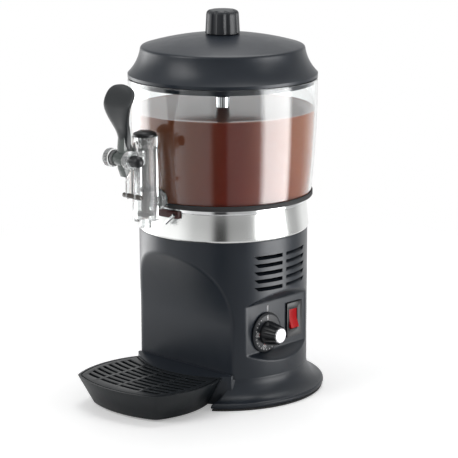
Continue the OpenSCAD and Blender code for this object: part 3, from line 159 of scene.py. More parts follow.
class Finish:
    """One procedural material around a Principled surface."""

    def __init__(self, name, **surface):
        self.material = bpy.data.materials.new(name)
        self.material.use_nodes = True
        self.tree = self.material.node_tree
        self.tree.nodes.clear()
        self.shader = self.tree.nodes.new("ShaderNodeBsdfPrincipled")
        end = self.tree.nodes.new("ShaderNodeOutputMaterial")
        self.tree.links.new(self.shader.outputs[0], end.inputs[0])
        self.coords = None
        for socket, value in surface.items():
            self.set(socket.replace("_", " "), value)

    def plug(self, socket, value):
        """Links a number to a socket, or stores a plain value in it."""
        if isinstance(value, Num):
            self.tree.links.new(value.socket, socket)
        else:
            socket.default_value = value

    def set(self, socket, value):
        """Fills one input of the surface."""
        names = {"Coat": "Coat Weight", "Transmission": "Transmission Weight"}
        self.plug(self.shader.inputs[names.get(socket, socket)], value)
        return self

    def add(self, kind, settings=None, inputs=None):
        """Adds one node and returns its outputs as numbers."""
        node = self.tree.nodes.new(kind)
        for key, value in (settings or {}).items():
            if key == "stops":
                ends = node.color_ramp.elements
                ends[0].position, ends[-1].position = value[0][0], value[-1][0]
                ends[0].color, ends[-1].color = (*value[0][1], 1.0), (*value[-1][1], 1.0)
                for place, colour in value[1:-1]:
                    ends.new(place).color = (*colour, 1.0)
            else:
                setattr(node, key, value)
        for key, value in (inputs or {}).items():
            self.plug(node.inputs[key], value)
        return [Num(self, out) for out in node.outputs]

    def place(self):
        """Object coordinates as a vector."""
        if self.coords is None:
            self.coords = self.add("ShaderNodeTexCoord")[3]
        return self.coords

    def stretched(self, scale):
        """Object coordinates with each axis scaled, so that a pattern draws out."""
        return self.add("ShaderNodeMapping", {}, {0: self.place(), 3: scale})[0]

    def axes(self, vector=None):
        """The x, y and z of a vector, or else of the object coordinates."""
        return self.add("ShaderNodeSeparateXYZ", {}, {0: vector or self.place()})

    def rays(self):
        """Masks for camera rays, glossy rays, and glossy or transmitted ones together."""
        path = self.add("ShaderNodeLightPath")
        camera_ray, glossy, through = path[0], path[3], path[6]
        return camera_ray, glossy, glossy.at_least(through)

    def noise(self, scale, detail=2.0, vector=None):
        """Cloudy values round 0.5, in object coordinates unless told otherwise."""
        return self.add("ShaderNodeTexNoise", {},
                        {"Vector": vector or self.place(), "Scale": scale,
                         "Detail": detail, "Roughness": 0.5})[0]

    def mix(self, factor, first, second):
        """The first colour at factor 0 and the second at factor 1."""
        first, second = [(*c, 1.0) if isinstance(c, tuple) and len(c) == 3 else c
                         for c in (first, second)]
        return self.add("ShaderNodeMix", {"data_type": "RGBA"},
                        {0: factor, 6: first, 7: second})[2]

    def bump(self, height, distance, strength=1.0):
        """Raises the surface by a pattern; the distance is in metres."""
        normal = self.add("ShaderNodeBump", {},
                          {"Height": height, "Distance": distance, "Strength": strength})[0]
        return self.set("Normal", normal)


def shade(colour, factor):
    """A colour made darker or lighter."""
    return tuple(min(1.0, c * factor) for c in colour)


def moulded(name, colour, rough=0.42, grain=0.5, spread=0.12, coat=0.0, scale=2400.0,
            gloss=0.4):
    """Moulded plastic: fine spark-eroded grain, faint flow marks and uneven gloss."""
    f = Finish(name, Coat=coat, Coat_Roughness=0.15, Specular_IOR_Level=gloss)
    flow = f.noise(18.0, 4.0)
    f.set("Base Color", f.mix(flow, shade(colour, 1 - spread), shade(colour, 1 + spread)))
    f.set("Roughness", rough + 0.14 * (f.noise(60.0, 3.0) - 0.5))
    f.bump(f.noise(scale, 2.0), 0.00006, grain)
    return f.material


def polished(name, colour, rough, streak=(1, 1, 1), streaks=0.05, spread=0.05):
    """Metal with faint drawn streaks in its gloss."""
    f = Finish(name, Metallic=1.0)
    lines = f.noise(900.0, 3.0, f.stretched(streak))
    f.set("Base Color", f.mix(f.noise(30.0, 3.0), shade(colour, 1 - spread), colour))
    f.set("Roughness", rough + streaks * (lines - 0.5) + 0.03 * f.noise(14.0, 2.0))
    f.bump(lines, 0.00002, 0.25)
    return f.material


def clear(name, tint, rough=0.015, ior=1.49, see_through=1.0):
    """Clear plastic with the faintest moulding haze."""
    f = Finish(name, Transmission=see_through, IOR=ior, Specular_IOR_Level=0.24)
    f.set("Base Color", f.mix(f.noise(25.0, 2.0), shade(tint, 0.985), tint))
    f.set("Roughness", rough + 0.02 * f.noise(40.0, 3.0))
    return f.material


def rubbery(name, colour):
    """Matt rubber or pressed fibre: mottled, with a fine rough skin."""
    f = Finish(name)
    f.set("Base Color", f.mix(f.noise(90.0, 3.0), shade(colour, 0.7), shade(colour, 1.4)))
    f.set("Roughness", 0.72 + 0.12 * (f.noise(200.0, 2.0) - 0.5))
    f.bump(f.noise(3000.0, 2.0), 0.00008, 0.5)
    return f.material


def chocolate():
    """Drinking chocolate with painted light: deep red across the middle of the view, a painted
    reflection paler towards the sides as the camera sees them, and a pale painted sheen on its
    glossy top.
    """
    f = Finish("drinking_chocolate", Specular_IOR_Level=0.12, Coat_Roughness=0.10, Coat_IOR=1.45)
    x, y, height = f.axes()
    cloud = f.noise(22.0, 4.0)
    level = height + 0.006 * (cloud - 0.5)
    # painted reflection: the colour turns paler with distance from the camera's line of sight,
    # and both colours shift a little with height
    side = (x * math.cos(AZ) + y * math.sin(AZ) - 0.012).size()
    climb = level.ramp(0.250, 0.320)
    deep = f.mix(climb, (0.190, 0.0230, 0.0110), (0.172, 0.0260, 0.0130))
    painted_reflection = f.mix(climb, (0.260, 0.070, 0.0260), (0.290, 0.100, 0.0450))
    body = f.mix(side.ramp(0.010, 0.085), deep, painted_reflection)
    top = height.ramp(DRINK_Z * MM - 0.0010, DRINK_Z * MM - 0.0004)
    # the top surface gets a pale painted sheen in its colour, and a real glossy coat over it
    f.set("Base Color", f.mix(top, body, (0.340, 0.130, 0.090)))
    f.set("Coat", top)
    f.set("Roughness", 0.36 + 0.1 * f.noise(50.0, 3.0))
    f.bump(f.noise(60.0, 2.0), 0.0003, 0.1)
    return f.material


CHARCOAL = (0.0130, 0.0180, 0.0260)
INK = (0.0080, 0.0088, 0.0105)
FINISH = {
    "casing": moulded("charcoal_moulding", CHARCOAL, 0.33, 0.3),
    "black_plastic": moulded("black_moulding", INK, 0.34, 0.35),
    "knob": moulded("knob_moulding", (0.0200, 0.0225, 0.0270), 0.40, 0.4),
    "tray": moulded("tray_moulding", (0.0075, 0.0100, 0.0125), 0.36, 0.5, scale=1800.0),
    "panel": moulded("dial_moulding", (0.0130, 0.0150, 0.0190), 0.32, 0.3),
    "stainless": polished("polished_stainless", (0.80, 0.81, 0.80), 0.16, (1, 1, 60)),
    "chrome": polished("bright_chrome", (0.86, 0.87, 0.88), 0.06, (1, 1, 20), 0.02),
    "screws": polished("screw_steel", (0.62, 0.62, 0.63), 0.28),
    "steel_pin": polished("pin_steel", (0.68, 0.69, 0.70), 0.18),
    "sheet": polished("zinc_sheet", (0.52, 0.53, 0.54), 0.42, spread=0.2),
    "satin_cap": polished("satin_disc", (0.60, 0.60, 0.62), 0.36, streaks=0.12),
    "gear_housing": polished("cast_housing", (0.42, 0.43, 0.45), 0.5, spread=0.15),
    "bronze": polished("sintered_bronze", (0.52, 0.35, 0.15), 0.38),
    "copper": polished("capillary_copper", (0.62, 0.32, 0.20), 0.3),
    "heater": polished("heating_tube", (0.24, 0.21, 0.19), 0.45, spread=0.3),
    "motor": moulded("motor_enamel", (0.05, 0.05, 0.055), 0.4),
    "rubber": rubbery("black_rubber", (0.016, 0.016, 0.017)),
    "insulation": rubbery("fibre_board", (0.52, 0.47, 0.33)),
    "pale_plastic": moulded("off_white_moulding", (0.62, 0.61, 0.55), 0.45),
    "maroon": moulded("maroon_moulding", (0.060, 0.018, 0.018), 0.25, 0.2),
    "smoked": moulded("smoked_rod", (0.050, 0.040, 0.034), 0.22, 0.1),
    "lever": moulded("smoked_lever", (0.060, 0.074, 0.068), 0.26, 0.15, coat=0.4),
    "grip": moulded("spoon_moulding", (0.0085, 0.0115, 0.0135), 0.36, 0.15),
    "red": moulded("red_lens", (0.62, 0.0030, 0.0080), 0.30, 0.1, gloss=0.15),
    "clear": clear("clear_plastic", (0.97, 0.985, 0.985)),
    "tap_clear": clear("tap_clear_plastic", (0.97, 0.985, 0.985), 0.008, 1.30, 0.86),
    "white_print": moulded("white_print", (0.93, 0.93, 0.93), 0.5, 0.1, 0.03),
    "red_print": moulded("red_print", (0.42, 0.05, 0.06), 0.5, 0.1),
    "drink": chocolate(),
}


# -------------------------------------------------------------- mesh building
def smooth(mesh, angle):
    """Smooth shading that breaks at edges sharper than an angle."""
    for poly in mesh.polygons:
        poly.use_smooth = True
    mesh.set_sharp_from_angle(angle=math.radians(angle))


def piece(name, mesh, finish, body, nodes=(), angle=32.0):
    """Puts a finished mesh in the scene as a piece of the object."""
    mesh.name = name
    mesh.materials.clear()
    mesh.materials.append(FINISH[finish])
    smooth(mesh, angle)
    obj = bpy.data.objects.new(name, mesh)
    bpy.context.scene.collection.objects.link(obj)
    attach(obj, body)
    if nodes:
        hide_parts(*nodes)
    return obj


def mesh_of(verts, faces):
    """Makes a mesh from millimetre points and turns its faces outwards."""
    mesh = bpy.data.meshes.new("mesh")
    mesh.from_pydata([tuple(c * MM for c in v) for v in verts], [], faces)
    mesh.validate()
    b = bmesh.new()
    b.from_mesh(mesh)
    bmesh.ops.remove_doubles(b, verts=b.verts, dist=1e-7)
    bmesh.ops.recalc_face_normals(b, faces=b.faces)
    b.to_mesh(mesh)
    b.free()
    return mesh


def baked(mesh, *modifiers):
    """Runs modifiers on a mesh and returns the plain result."""
    obj = bpy.data.objects.new("work", mesh)
    bpy.context.scene.collection.objects.link(obj)
    for kind, settings in modifiers:
        m = obj.modifiers.new(kind, kind)
        for key, value in settings.items():
            setattr(m, key, value)
    dg = bpy.context.evaluated_depsgraph_get()
    out = bpy.data.meshes.new_from_object(obj.evaluated_get(dg))
    bpy.data.objects.remove(obj)
    return out


def bevel(width, segments=2, angle=30.0):
    """Settings of a bevel over the edges sharper than an angle."""
    return ("BEVEL", {"width": width * MM, "segments": segments, "limit_method": "ANGLE",
                      "angle_limit": math.radians(angle), "use_clamp_overlap": True,
                      "miter_outer": "MITER_ARC", "harden_normals": False})


def from_cad(node, width, segments=2):
    """A merged copy of a CAD node's mesh, with its edges rounded."""
    mesh = frame["nodes"][node].data.copy()
    b = bmesh.new()
    b.from_mesh(mesh)
    bmesh.ops.remove_doubles(b, verts=b.verts, dist=2e-6)
    bmesh.ops.dissolve_limit(b, angle_limit=math.radians(0.05), verts=b.verts, edges=b.edges)
    b.to_mesh(mesh)
    b.free()
    return baked(mesh, bevel(width, segments, 32.0))


def corners(points, steps=6):
    """A (r, z) outline with the corners that carry a radius rounded off."""
    out, n = [], len(points)
    for i, p in enumerate(points):
        if len(p) < 3 or p[2] <= 0:
            out.append((p[0], p[1]))
            continue
        a, c, b = (np.array(points[(i + k) % n][:2], float) for k in (-1, 0, 1))
        u, v = (a - c) / np.linalg.norm(a - c), (b - c) / np.linalg.norm(b - c)
        half = math.acos(max(-1.0, min(1.0, float(u @ v)))) / 2
        reach = min(p[2] / math.tan(half), 0.49 * np.linalg.norm(a - c),
                    0.49 * np.linalg.norm(b - c))
        radius = reach * math.tan(half)
        centre = c + (u + v) / np.linalg.norm(u + v) * radius / math.sin(half)
        start, end = c + u * reach - centre, c + v * reach - centre
        sweep = math.acos(max(-1.0, min(1.0, float(start @ end) / radius ** 2)))
        for k in range(steps + 1):
            t = k / steps
            w = (math.sin((1 - t) * sweep) * start + math.sin(t * sweep) * end) / math.sin(sweep)
            out.append(tuple(centre + w))
    return out


def arc(cx, cz, r, a0, a1, steps):
    """Points on a circle from angle a0 to a1, in degrees."""
    return [(cx + r * math.cos(math.radians(a0 + (a1 - a0) * k / steps)),
             cz + r * math.sin(math.radians(a0 + (a1 - a0) * k / steps)))
            for k in range(steps + 1)]


def lathe(outline, columns=192, centre=(0.0, 0.0, 0.0), axis="Z", wave=None):
    """Turns a closed (r, h) outline round an axis; wave(r, h, angle) changes the radius."""
    verts, faces = [], []
    for j in range(columns):
        t = 2 * math.pi * j / columns
        for r, h in outline:
            rr = max(0.0, wave(r, h, t)) if wave else r
            p = (rr * math.cos(t), rr * math.sin(t), h)
            if axis == "X":
                p = (h, rr * math.cos(t), rr * math.sin(t))
            elif axis == "Y":
                p = (rr * math.cos(t), h, rr * math.sin(t))
            verts.append(tuple(centre[k] + p[k] for k in range(3)))
    n = len(outline)
    for j in range(columns):
        for i in range(n):
            a, b = j * n + i, j * n + (i + 1) % n
            c, d = ((j + 1) % columns) * n + (i + 1) % n, ((j + 1) % columns) * n + i
            if outline[i][0] > 0 or outline[(i + 1) % n][0] > 0:
                faces.append((a, b, c, d))
    return merged(verts, faces)


def merged(verts, faces):
    """Merges poles, drops empty faces and turns the rest outwards."""
    mesh = bpy.data.meshes.new("mesh")
    mesh.from_pydata([tuple(c * MM for c in v) for v in verts], [], faces)
    b = bmesh.new()
    b.from_mesh(mesh)
    bmesh.ops.remove_doubles(b, verts=b.verts, dist=1e-6)
    bmesh.ops.dissolve_degenerate(b, edges=b.edges, dist=1e-6)
    bmesh.ops.recalc_face_normals(b, faces=b.faces)
    b.to_mesh(mesh)
    b.free()
    return mesh


def grid_skin(rings, closed=True):
    """Faces over rings of equal length; closed joins the last ring to the first."""
    n, m = len(rings[0]), len(rings)
    verts = [v for ring in rings for v in ring]
    faces = []
    for i in range(m if closed else m - 1):
        k = (i + 1) % m
        for j in range(n):
            faces.append((i * n + j, i * n + (j + 1) % n, k * n + (j + 1) % n, k * n + j))
    return verts, faces


def soft_min(a, b, k):
    """The lower of two values, blended over a width k where they meet."""
    h = max(0.0, min(1.0, 0.5 + 0.5 * (b - a) / k))
    return b + (a - b) * h - k * h * (1 - h)


def soft_max(a, b, k):
    """The higher of two values, blended in the same way."""
    return -soft_min(-a, -b, k)


def joined(*meshes):
    """One mesh out of several."""
    b = bmesh.new()
    for mesh in meshes:
        b.from_mesh(mesh)
    out = bpy.data.meshes.new("joined")
    b.to_mesh(out)
    b.free()
    return out


def prism(outline, x0, x1):
    """A four-sided (y, z) outline drawn out from x0 to x1."""
    verts = [(x, y, z) for x in (x0, x1) for y, z in outline]
    ends = [(0, 1, 2, 3), (7, 6, 5, 4)]
    return mesh_of(verts, ends + [(i, (i + 1) % 4, 4 + (i + 1) % 4, 4 + i) for i in range(4)])


def box_outline(y0, y1, z0, z1):
    """The corners of a rectangle, ready for prism."""
    return [(y0, z0), (y1, z0), (y1, z1), (y0, z1)]


def slab(y0, y1, z0, z1, x0, x1, width):
    """A thin printed mark with softened edges."""
    return baked(prism(box_outline(y0, y1, z0, z1), x0, x1), bevel(width))


def with_steps(outline, count):
    """Splits an outline's long steep side, so that flutes can curve along it."""
    out = []
    for a, b in zip(outline, outline[1:] + outline[:1]):
        out.append(a)
        if abs(a[1] - b[1]) > 4 and a[0] > 5:
            out += [(a[0] + (b[0] - a[0]) * k / count, a[1] + (b[1] - a[1]) * k / count)
                    for k in range(1, count)]
    return out


def from_middle(angle, first, count):
    """How far an angle lies from the nearest of count flutes, as a share of their step."""
    return ((angle - first) * count / (2 * math.pi) + 0.5) % 1.0 - 0.5


# ------------------------------------------------------------------- casing
def front_distance(z):
    """How far the front wall stands from the axis at a height."""
    if z <= COVE_Z:
        return FRONT_Y
    rise = min(COVE_R - 0.01, z - COVE_Z)
    return FRONT_Y + COVE_R - math.sqrt(COVE_R ** 2 - rise ** 2)


def panel_distance(z):
    """How far the panel recess stands from the axis at a height."""
    roof = PANEL_X + (z - PANEL_HIGH) / ROOF
    sill = PANEL_X + (PANEL_LOW - z) / SILL
    return soft_max(soft_max(roof, PANEL_X, SLOPE_SOFT), sill, SLOPE_SOFT)


def casing_radius(angle, z, inset):
    """Distance from the axis to the casing's skin; angle 0 is the front."""
    out = (CASING_LOW_R - inset
           + (CASING_R - CASING_LOW_R) * (z - CASING_Z0) / (CASING_Z1 - CASING_Z0))
    if math.cos(angle) > 0.05:
        out = soft_min(out, (front_distance(z) - inset) / math.cos(angle), FRONT_SOFT)
    if math.sin(angle) > 0.05:
        out = soft_min(out, (panel_distance(z) - inset) / math.sin(angle), PANEL_SOFT)
    return out


def casing_mesh():
    """The round shell with its cove and recess, cut by the vents and the control holes."""
    columns, rows, inner_rows = 600, 132, 16
    top, height = CASING_Z1 - TOP_ROUND, CASING_Z1 - CASING_Z0

    def ring(z, inset):
        turns = [2 * math.pi * j / columns for j in range(columns)]
        radii = [casing_radius(t, z, inset) for t in turns]
        return [(r * math.sin(t), -r * math.cos(t), z) for r, t in zip(radii, turns)]

    rings = [ring(CASING_Z0 + (top - CASING_Z0) * i / rows, 0.0) for i in range(rows + 1)]
    rings += [ring(top + TOP_ROUND * math.sin(a), TOP_ROUND * (1 - math.cos(a)))
              for a in (0.4, 0.8, 1.2, math.pi / 2)]
    rings += [ring(CASING_Z1 - height * i / inner_rows, WALL) for i in range(inner_rows + 1)]
    shell = mesh_of(*grid_skin(rings))
    cutters = []
    for row in range(VENT_ROWS):
        high = VENT_TOP - VENT_PITCH * row
        low = high - VENT_H
        for outer, inner, slant in ((-44.5, -5.4, VENT_SLANT), (42.7, 0.9, -VENT_SLANT)):
            slot = [(outer, high), (inner, high), (inner, low), (outer + slant, low)]
            cutters.append(baked(prism(slot, CUT_X0, VENT_CUT_X1), bevel(0.5)))
    for hole in (SWITCH_HOLE, SHAFT_HOLE):
        cutters.append(prism(box_outline(*hole), CUT_X0, HOLE_CUT_X1))
    knife = bpy.data.objects.new("knife", joined(*cutters))
    bpy.context.scene.collection.objects.link(knife)
    out = baked(shell, ("BOOLEAN", {"operation": "DIFFERENCE", "object": knife,
                                    "solver": "EXACT", "use_self": False}))
    bpy.data.objects.remove(knife)
    return out


piece("casing_shell", casing_mesh(), "casing", "base", ["body_casing"], 38.0)
piece("flared_skirt", from_cad("base_skirt", 1.2, 3), "casing", "base",
      ["base_skirt"], 38.0)
piece("stand_ring", from_cad("foot_ring", 0.5), "rubber", "base", ["foot_ring"])

# -------------------------------------------------------------- band and ring
band = corners([(101.6, 234.0, 0.3), (104.2, 206.5, 8.0), (104.4, 203.2, 1.5),
                (103.4, 201.05, 0.6), (98.5, 201.05), (98.5, 202.0), (102.6, 202.0, 0.5),
                (103.3, 203.6, 0.8), (103.2, 206.5, 6.0), (100.6, 234.0, 0.3)], 5)
piece("steel_band_sheet", lathe(band, 288), "stainless", "base", ["steel_band"])
ring = corners([(95.5, 234.05, 0.4), (102.6, 234.05, 1.6), (102.6, 239.95, 1.8),
                (95.5, 239.95, 0.4)], 6)
piece("chrome_bead", lathe(ring, 288), "chrome", "base", ["chrome_ring"])

# ----------------------------------------------------------------------- bowl
def bowl_mesh():
    """The clear bowl: bowed wall, rounded rim and foot, and the post in its middle."""
    foot_r, rim_z = 4.0, RIM_Z - RIM_R
    outer = [(wall_r(z), z) for z in np.linspace(BOWL_Z + foot_r, rim_z, 40)]
    foot = arc(wall_r(BOWL_Z + foot_r) - foot_r, BOWL_Z + foot_r, foot_r, -90, -2, 8)
    rim = arc(wall_r(RIM_Z) - RIM_R, rim_z, RIM_R, 5, 90, 5)
    inner_rim = arc(wall_r(RIM_Z) - BOWL_T + RIM_R, rim_z, RIM_R, 90, 175, 5)
    inner = [(wall_r(z) - BOWL_T, z) for z in np.linspace(rim_z - 0.1, BOWL_Z + 6.0, 40)]
    heel = arc(wall_r(BOWL_Z + 6) - BOWL_T - HEEL_R, BOWL_Z + BOWL_T + HEEL_R, HEEL_R, 0, -90, 6)
    post = corners([(POST_BORE_R, BOWL_Z), (POST_R, BOWL_Z + BOWL_T, 1.5),
                    (POST_R, POST_TOP, 0.5), (POST_BORE_R, POST_TOP, 0.3)])
    outline = foot + outer + rim + inner_rim + inner + heel + post[1:] + post[:1]
    return lathe(outline, 256)


boss = lathe(corners([(8.0, -107.0, 0.2), (12.0, -107.6, 0.6), (12.0, -110.6, 0.6),
                      (9.9, -110.8, 0.2), (9.9, -112.4, 0.3), (8.0, -112.4, 0.3)], 4),
             96, (0, 0, NECK_Z), "Y")
piece("clear_bowl", joined(bowl_mesh(), boss), "clear", "bowl", ["bowl"], 40.0)
piece("bowl_foot_seal", from_cad("bowl_gasket", 0.3), "rubber", "bowl", ["bowl_gasket"])

# ----------------------------------------------------------------- the drink
def drink_mesh():
    """The drink up to its level, with its edge drawn up a little at the wall."""
    side = [(wall_r(z) - DRINK_GAP, z) for z in np.linspace(BOWL_Z + 6.0, DRINK_Z, 40)]
    edge = side[-1][0]
    rise = [(edge - 0.5, DRINK_Z + 0.25), (edge - 1.0, DRINK_Z + 0.1), (edge - 2.0, DRINK_Z)]
    surface = [(r, DRINK_Z) for r in (edge - 12, 60.0, 24.0, DRINK_BORE_R)]
    floor = [(DRINK_BORE_R, DRINK_FLOOR_Z), (DRINK_FLOOR_R, DRINK_FLOOR_Z)]
    heel = arc(wall_r(BOWL_Z + 6) - 5.6, BOWL_Z + 5.6, HEEL_R, -90, 0, 5)
    return lathe(side + rise + surface + floor + heel, 192)


piece("drink_fill", drink_mesh(), "drink", "bowl")

# ------------------------------------------------------------------------ lid
def circle_meet(a, ra, b, rb):
    """Centre that lies ra from a and rb from b, on the left of a to b."""
    a, b = np.array(a, float), np.array(b, float)
    d = np.linalg.norm(b - a)
    u = (b - a) / d
    s = (ra * ra - rb * rb + d * d) / (2 * d)
    return a + s * u + math.sqrt(ra * ra - s * s) * np.array([-u[1], u[0]])


def lid_mesh():
    """The lid: domed crown, rounded shoulder, hollow side and the lip inside the bowl."""
    crown, side = (0.0, CROWN_Z - CROWN_R), (LID_SIDE_X, LID_Z + LID_SIDE_Z)
    shoulder = circle_meet(crown, CROWN_R - SHOULDER_R, side, LID_SIDE_R + SHOULDER_R)

    def shape(inset, lip):
        top = math.degrees(math.atan2(shoulder[1] - crown[1], shoulder[0]))
        turn = math.degrees(math.atan2(side[1] - shoulder[1], side[0] - shoulder[0]))
        hollow = LID_SIDE_R + inset
        low = 180 + math.degrees(math.acos((LID_SIDE_X - LID_R + inset) / hollow))
        out = arc(*crown, CROWN_R - inset, 90, top, 30)
        out += arc(*shoulder, SHOULDER_R - inset, top, turn, 8)[1:]
        out += arc(*side, hollow, 180 + turn, low, 30)[1:]
        return out + [(LID_R - inset, lip)]

    outer = shape(0.0, LID_Z + 0.8) + [(LID_R - 0.8, LID_Z)]
    inner = shape(LID_T, LID_Z + 2.5)[::-1]
    lip = corners([(LIP_IN_R, LID_Z, 0.8), (LIP_IN_R, LID_Z - LIP_DEEP, 0.8),
                   (LIP_OUT_R, LID_Z - LIP_DEEP, 0.8), (LIP_OUT_R, LID_Z, 0.4)], 3)
    return lathe(outer + lip[::-1] + inner, 256)


piece("lid_dome", lid_mesh(), "casing", "lid", ["lid"], 40.0)


def knob_mesh():
    """The knob: a tapered cap with round grooves down its whole side."""
    top = CROWN_Z + KNOB_H
    outline = corners([(0.0, CROWN_Z + 0.1), (KNOB_R, CROWN_Z + 0.1, 0.6),
                       (KNOB_TOP_R, top, 5.0), (0.0, top)], 7)
    step = 2 * math.pi / KNOB_FLUTES
    first = math.radians(KNOB_TURN) + step / 2

    def flute(r, _, t):
        across = abs(from_middle(t, first, KNOB_FLUTES)) * step * r
        if r < KNOB_CROWN_R or across >= KNOB_FLUTE_HALF:
            return r
        cut = math.sqrt(KNOB_FLUTE_R ** 2 - across ** 2) - KNOB_FLUTE_R + KNOB_FLUTE_DEEP
        return r - cut * min(1.0, (r - KNOB_CROWN_R) / 2.0)

    return lathe(with_steps(outline, 12), 432, wave=flute)


piece("lid_knob_cap", knob_mesh(), "knob", "lid", ["lid_knob"], 42.0)

# -------------------------------------------------------------------- stirrer
tube = corners([(7.4, 247.0), (8.2, 247.0, 0.2), (8.2, 361.8, 0.3), (7.4, 361.8)], 3)
piece("stirrer_tube_chrome", lathe(tube, 96), "chrome", "stirrer", ["stirrer_tube"])
cap = corners([(8.25, 359.8), (9.7, 359.8, 0.4), (10.0, 363.0, 0.8), (9.6, 369.6, 0.8),
               (7.9, 372.0, 1.2), (0.0, 372.0), (0.0, 368.5), (6.0, 368.5), (6.0, 362.2),
               (8.25, 362.2)], 4)
piece("stirrer_cap_black", lathe(cap, 96), "black_plastic", "stirrer",
      ["stirrer_cap"])
piece("stirrer_paddles", from_cad("stirrer_blades", 0.6), "black_plastic", "stirrer",
      ["stirrer_blades"])

# ------------------------------------------------------------------------ tap
for name, node, width, finish, slot in (
        ("tap_tube_clear", "tap_body", 0.35, "tap_clear", "clear"),
        ("tap_ribbed_collar", "tap_collar", 0.25, "tap_clear", "clear"),
        ("tap_union_nut", "tap_nut", 0.3, "tap_clear", "clear"),
        ("pivot_knurled_rings", "pivot_rings", 0.3, "tap_clear", "clear"),
        ("tap_washer", "tap_seal", 0.1, "rubber", "rubber"),
        ("stop_rod", "stop_pin", 0.6, "smoked", "smoked"),
        ("pivot_bolt", "pivot_pin", 0.4, "black_plastic", "black_plastic"),
        ("pivot_washer_black", "pivot_washer", 0.2, "rubber", "rubber")):
    piece(name, from_cad(node, width), finish, "bowl", [node], 35.0)
piece("piston_rod_smoked", from_cad("piston", 0.3), "smoked", "piston", ["piston"])
piece("piston_rings", from_cad("piston_seals", 0.3), "rubber", "piston",
      ["piston_seals"])
piece("piston_cap_black", from_cad("piston_cap", 0.6), "black_plastic", "piston",
      ["piston_cap"])
piece("lever_arm_smoked", from_cad("lever_body", 0.6, 3), "lever", "lever",
      ["lever_body"])


def spoon_mesh():
    """The thumb grip: cross sections from the root up to the rounded tip."""
    stations = [  # height, front y, thickness, half width
        (322.0, -171.4, 12.6, 5.6), (329.0, -171.6, 12.4, 6.2), (336.0, -172.0, 11.4, 8.0),
        (341.0, -173.6, 10.6, 10.2), (347.0, -176.4, 9.5, 12.4), (354.5, -178.9, 8.2, 15.9),
        (362.0, -180.4, 7.2, 19.3), (367.5, -180.4, 6.3, 21.3), (372.0, -179.2, 5.6, 22.5),
        (377.4, -176.2, 4.7, 23.5), (382.4, -173.0, 4.1, 23.2), (386.2, -171.4, 3.9, 21.6),
        (389.3, -170.5, 3.7, 18.4), (391.8, -170.1, 3.5, 14.0), (393.4, -169.9, 3.3, 8.5),
        (394.2, -169.8, 3.1, 2.0)]
    rings = []
    n = 48
    for z, y, thick, half in stations:
        ring_points = []
        for j in range(n):
            t = 2 * math.pi * j / n
            cx, cy = math.cos(t), math.sin(t)
            px = half * math.copysign(abs(cx) ** 0.72, cx)
            py = thick / 2 * math.copysign(abs(cy) ** 0.55, cy)
            dish = 0.9 * (1 - (px / half) ** 2) if z > 340 and half > 10 else 0.0
            fall = 1.2 * (py + thick / 2) * max(0.0, min(1.0, (340.0 - z) / 8.0))
            ring_points.append((px, y + thick / 2 + py + (dish if cy < 0 else 0.0), z - fall))
        rings.append(ring_points)
    verts, faces = grid_skin(rings, False)
    verts.append(tuple(np.mean(rings[0], axis=0)))
    verts.append(tuple(np.mean(rings[-1], axis=0)))
    low, high = len(verts) - 2, len(verts) - 1
    last = (len(rings) - 1) * n
    faces += [((j + 1) % n, j, low) for j in range(n)]
    faces += [(last + j, last + (j + 1) % n, high) for j in range(n)]
    return baked(mesh_of(verts, faces), ("SUBSURF", {"levels": 1, "render_levels": 1}))


piece("spoon_grip", spoon_mesh(), "grip", "lever", ["lever_grip"], 60.0)


# ----------------------------------------------------------------------- dial
def dial_grip_mesh():
    """The dial's grip: a tapered cap, fluted from its tip down to the skirt."""
    x0, x1, seat = GRIP_FOOT, GRIP_END, GRIP_END - 0.8
    outline = corners([(0.0, x0), (GRIP_R, x0, 0.4), (GRIP_COLLAR_R, x0 + GRIP_COLLAR_H, 0.6),
                       (GRIP_TIP_R, x1, 1.0), (DISC_SEAT_R, x1, 0.3), (DISC_SEAT_R, seat, 0.2),
                       (0.0, seat)], 5)

    def flute(r, h, t):
        part = from_middle(t, math.pi / GRIP_FLUTES, GRIP_FLUTES) / GRIP_FLUTE_HALF
        if r < DISC_SEAT_R + 0.4 or abs(part) >= 1:
            return r
        fade = max(0.0, min(1.0, (h - x0 - GRIP_COLLAR_H) / 2.0))
        return r - GRIP_FLUTE_DEEP * math.sqrt(1 - part ** 2) * fade

    return lathe(with_steps(outline, 10), 320, (0, -DIAL_Y, DIAL_Z), "X", flute)


piece("dial_grip_fluted", dial_grip_mesh(), "black_plastic", "dial",
      ["dial_grip"], 42.0)
disc = corners([(0.0, DIAL_FOOT), (DIAL_R, DIAL_FOOT, 0.3), (DIAL_R, DIAL_FOOT + 1.2, 0.4),
                (DIAL_R - 2.5, GRIP_FOOT, 0.4), (0.0, GRIP_FOOT)], 4)
piece("dial_number_skirt", lathe(disc, 144, (0, -DIAL_Y, DIAL_Z), "X"), "panel", "dial",
      ["dial_skirt"])
button = corners([(0.0, GRIP_END - 0.8), (9.3, GRIP_END - 0.8), (9.3, GRIP_END + 0.3, 0.3),
                  (8.3, GRIP_END + 1.0, 0.5), (0.0, GRIP_END + 1.0)], 4)
piece("dial_end_disc", lathe(button, 96, (0, -DIAL_Y, DIAL_Z), "X"), "satin_cap", "dial",
      ["dial_cap"])


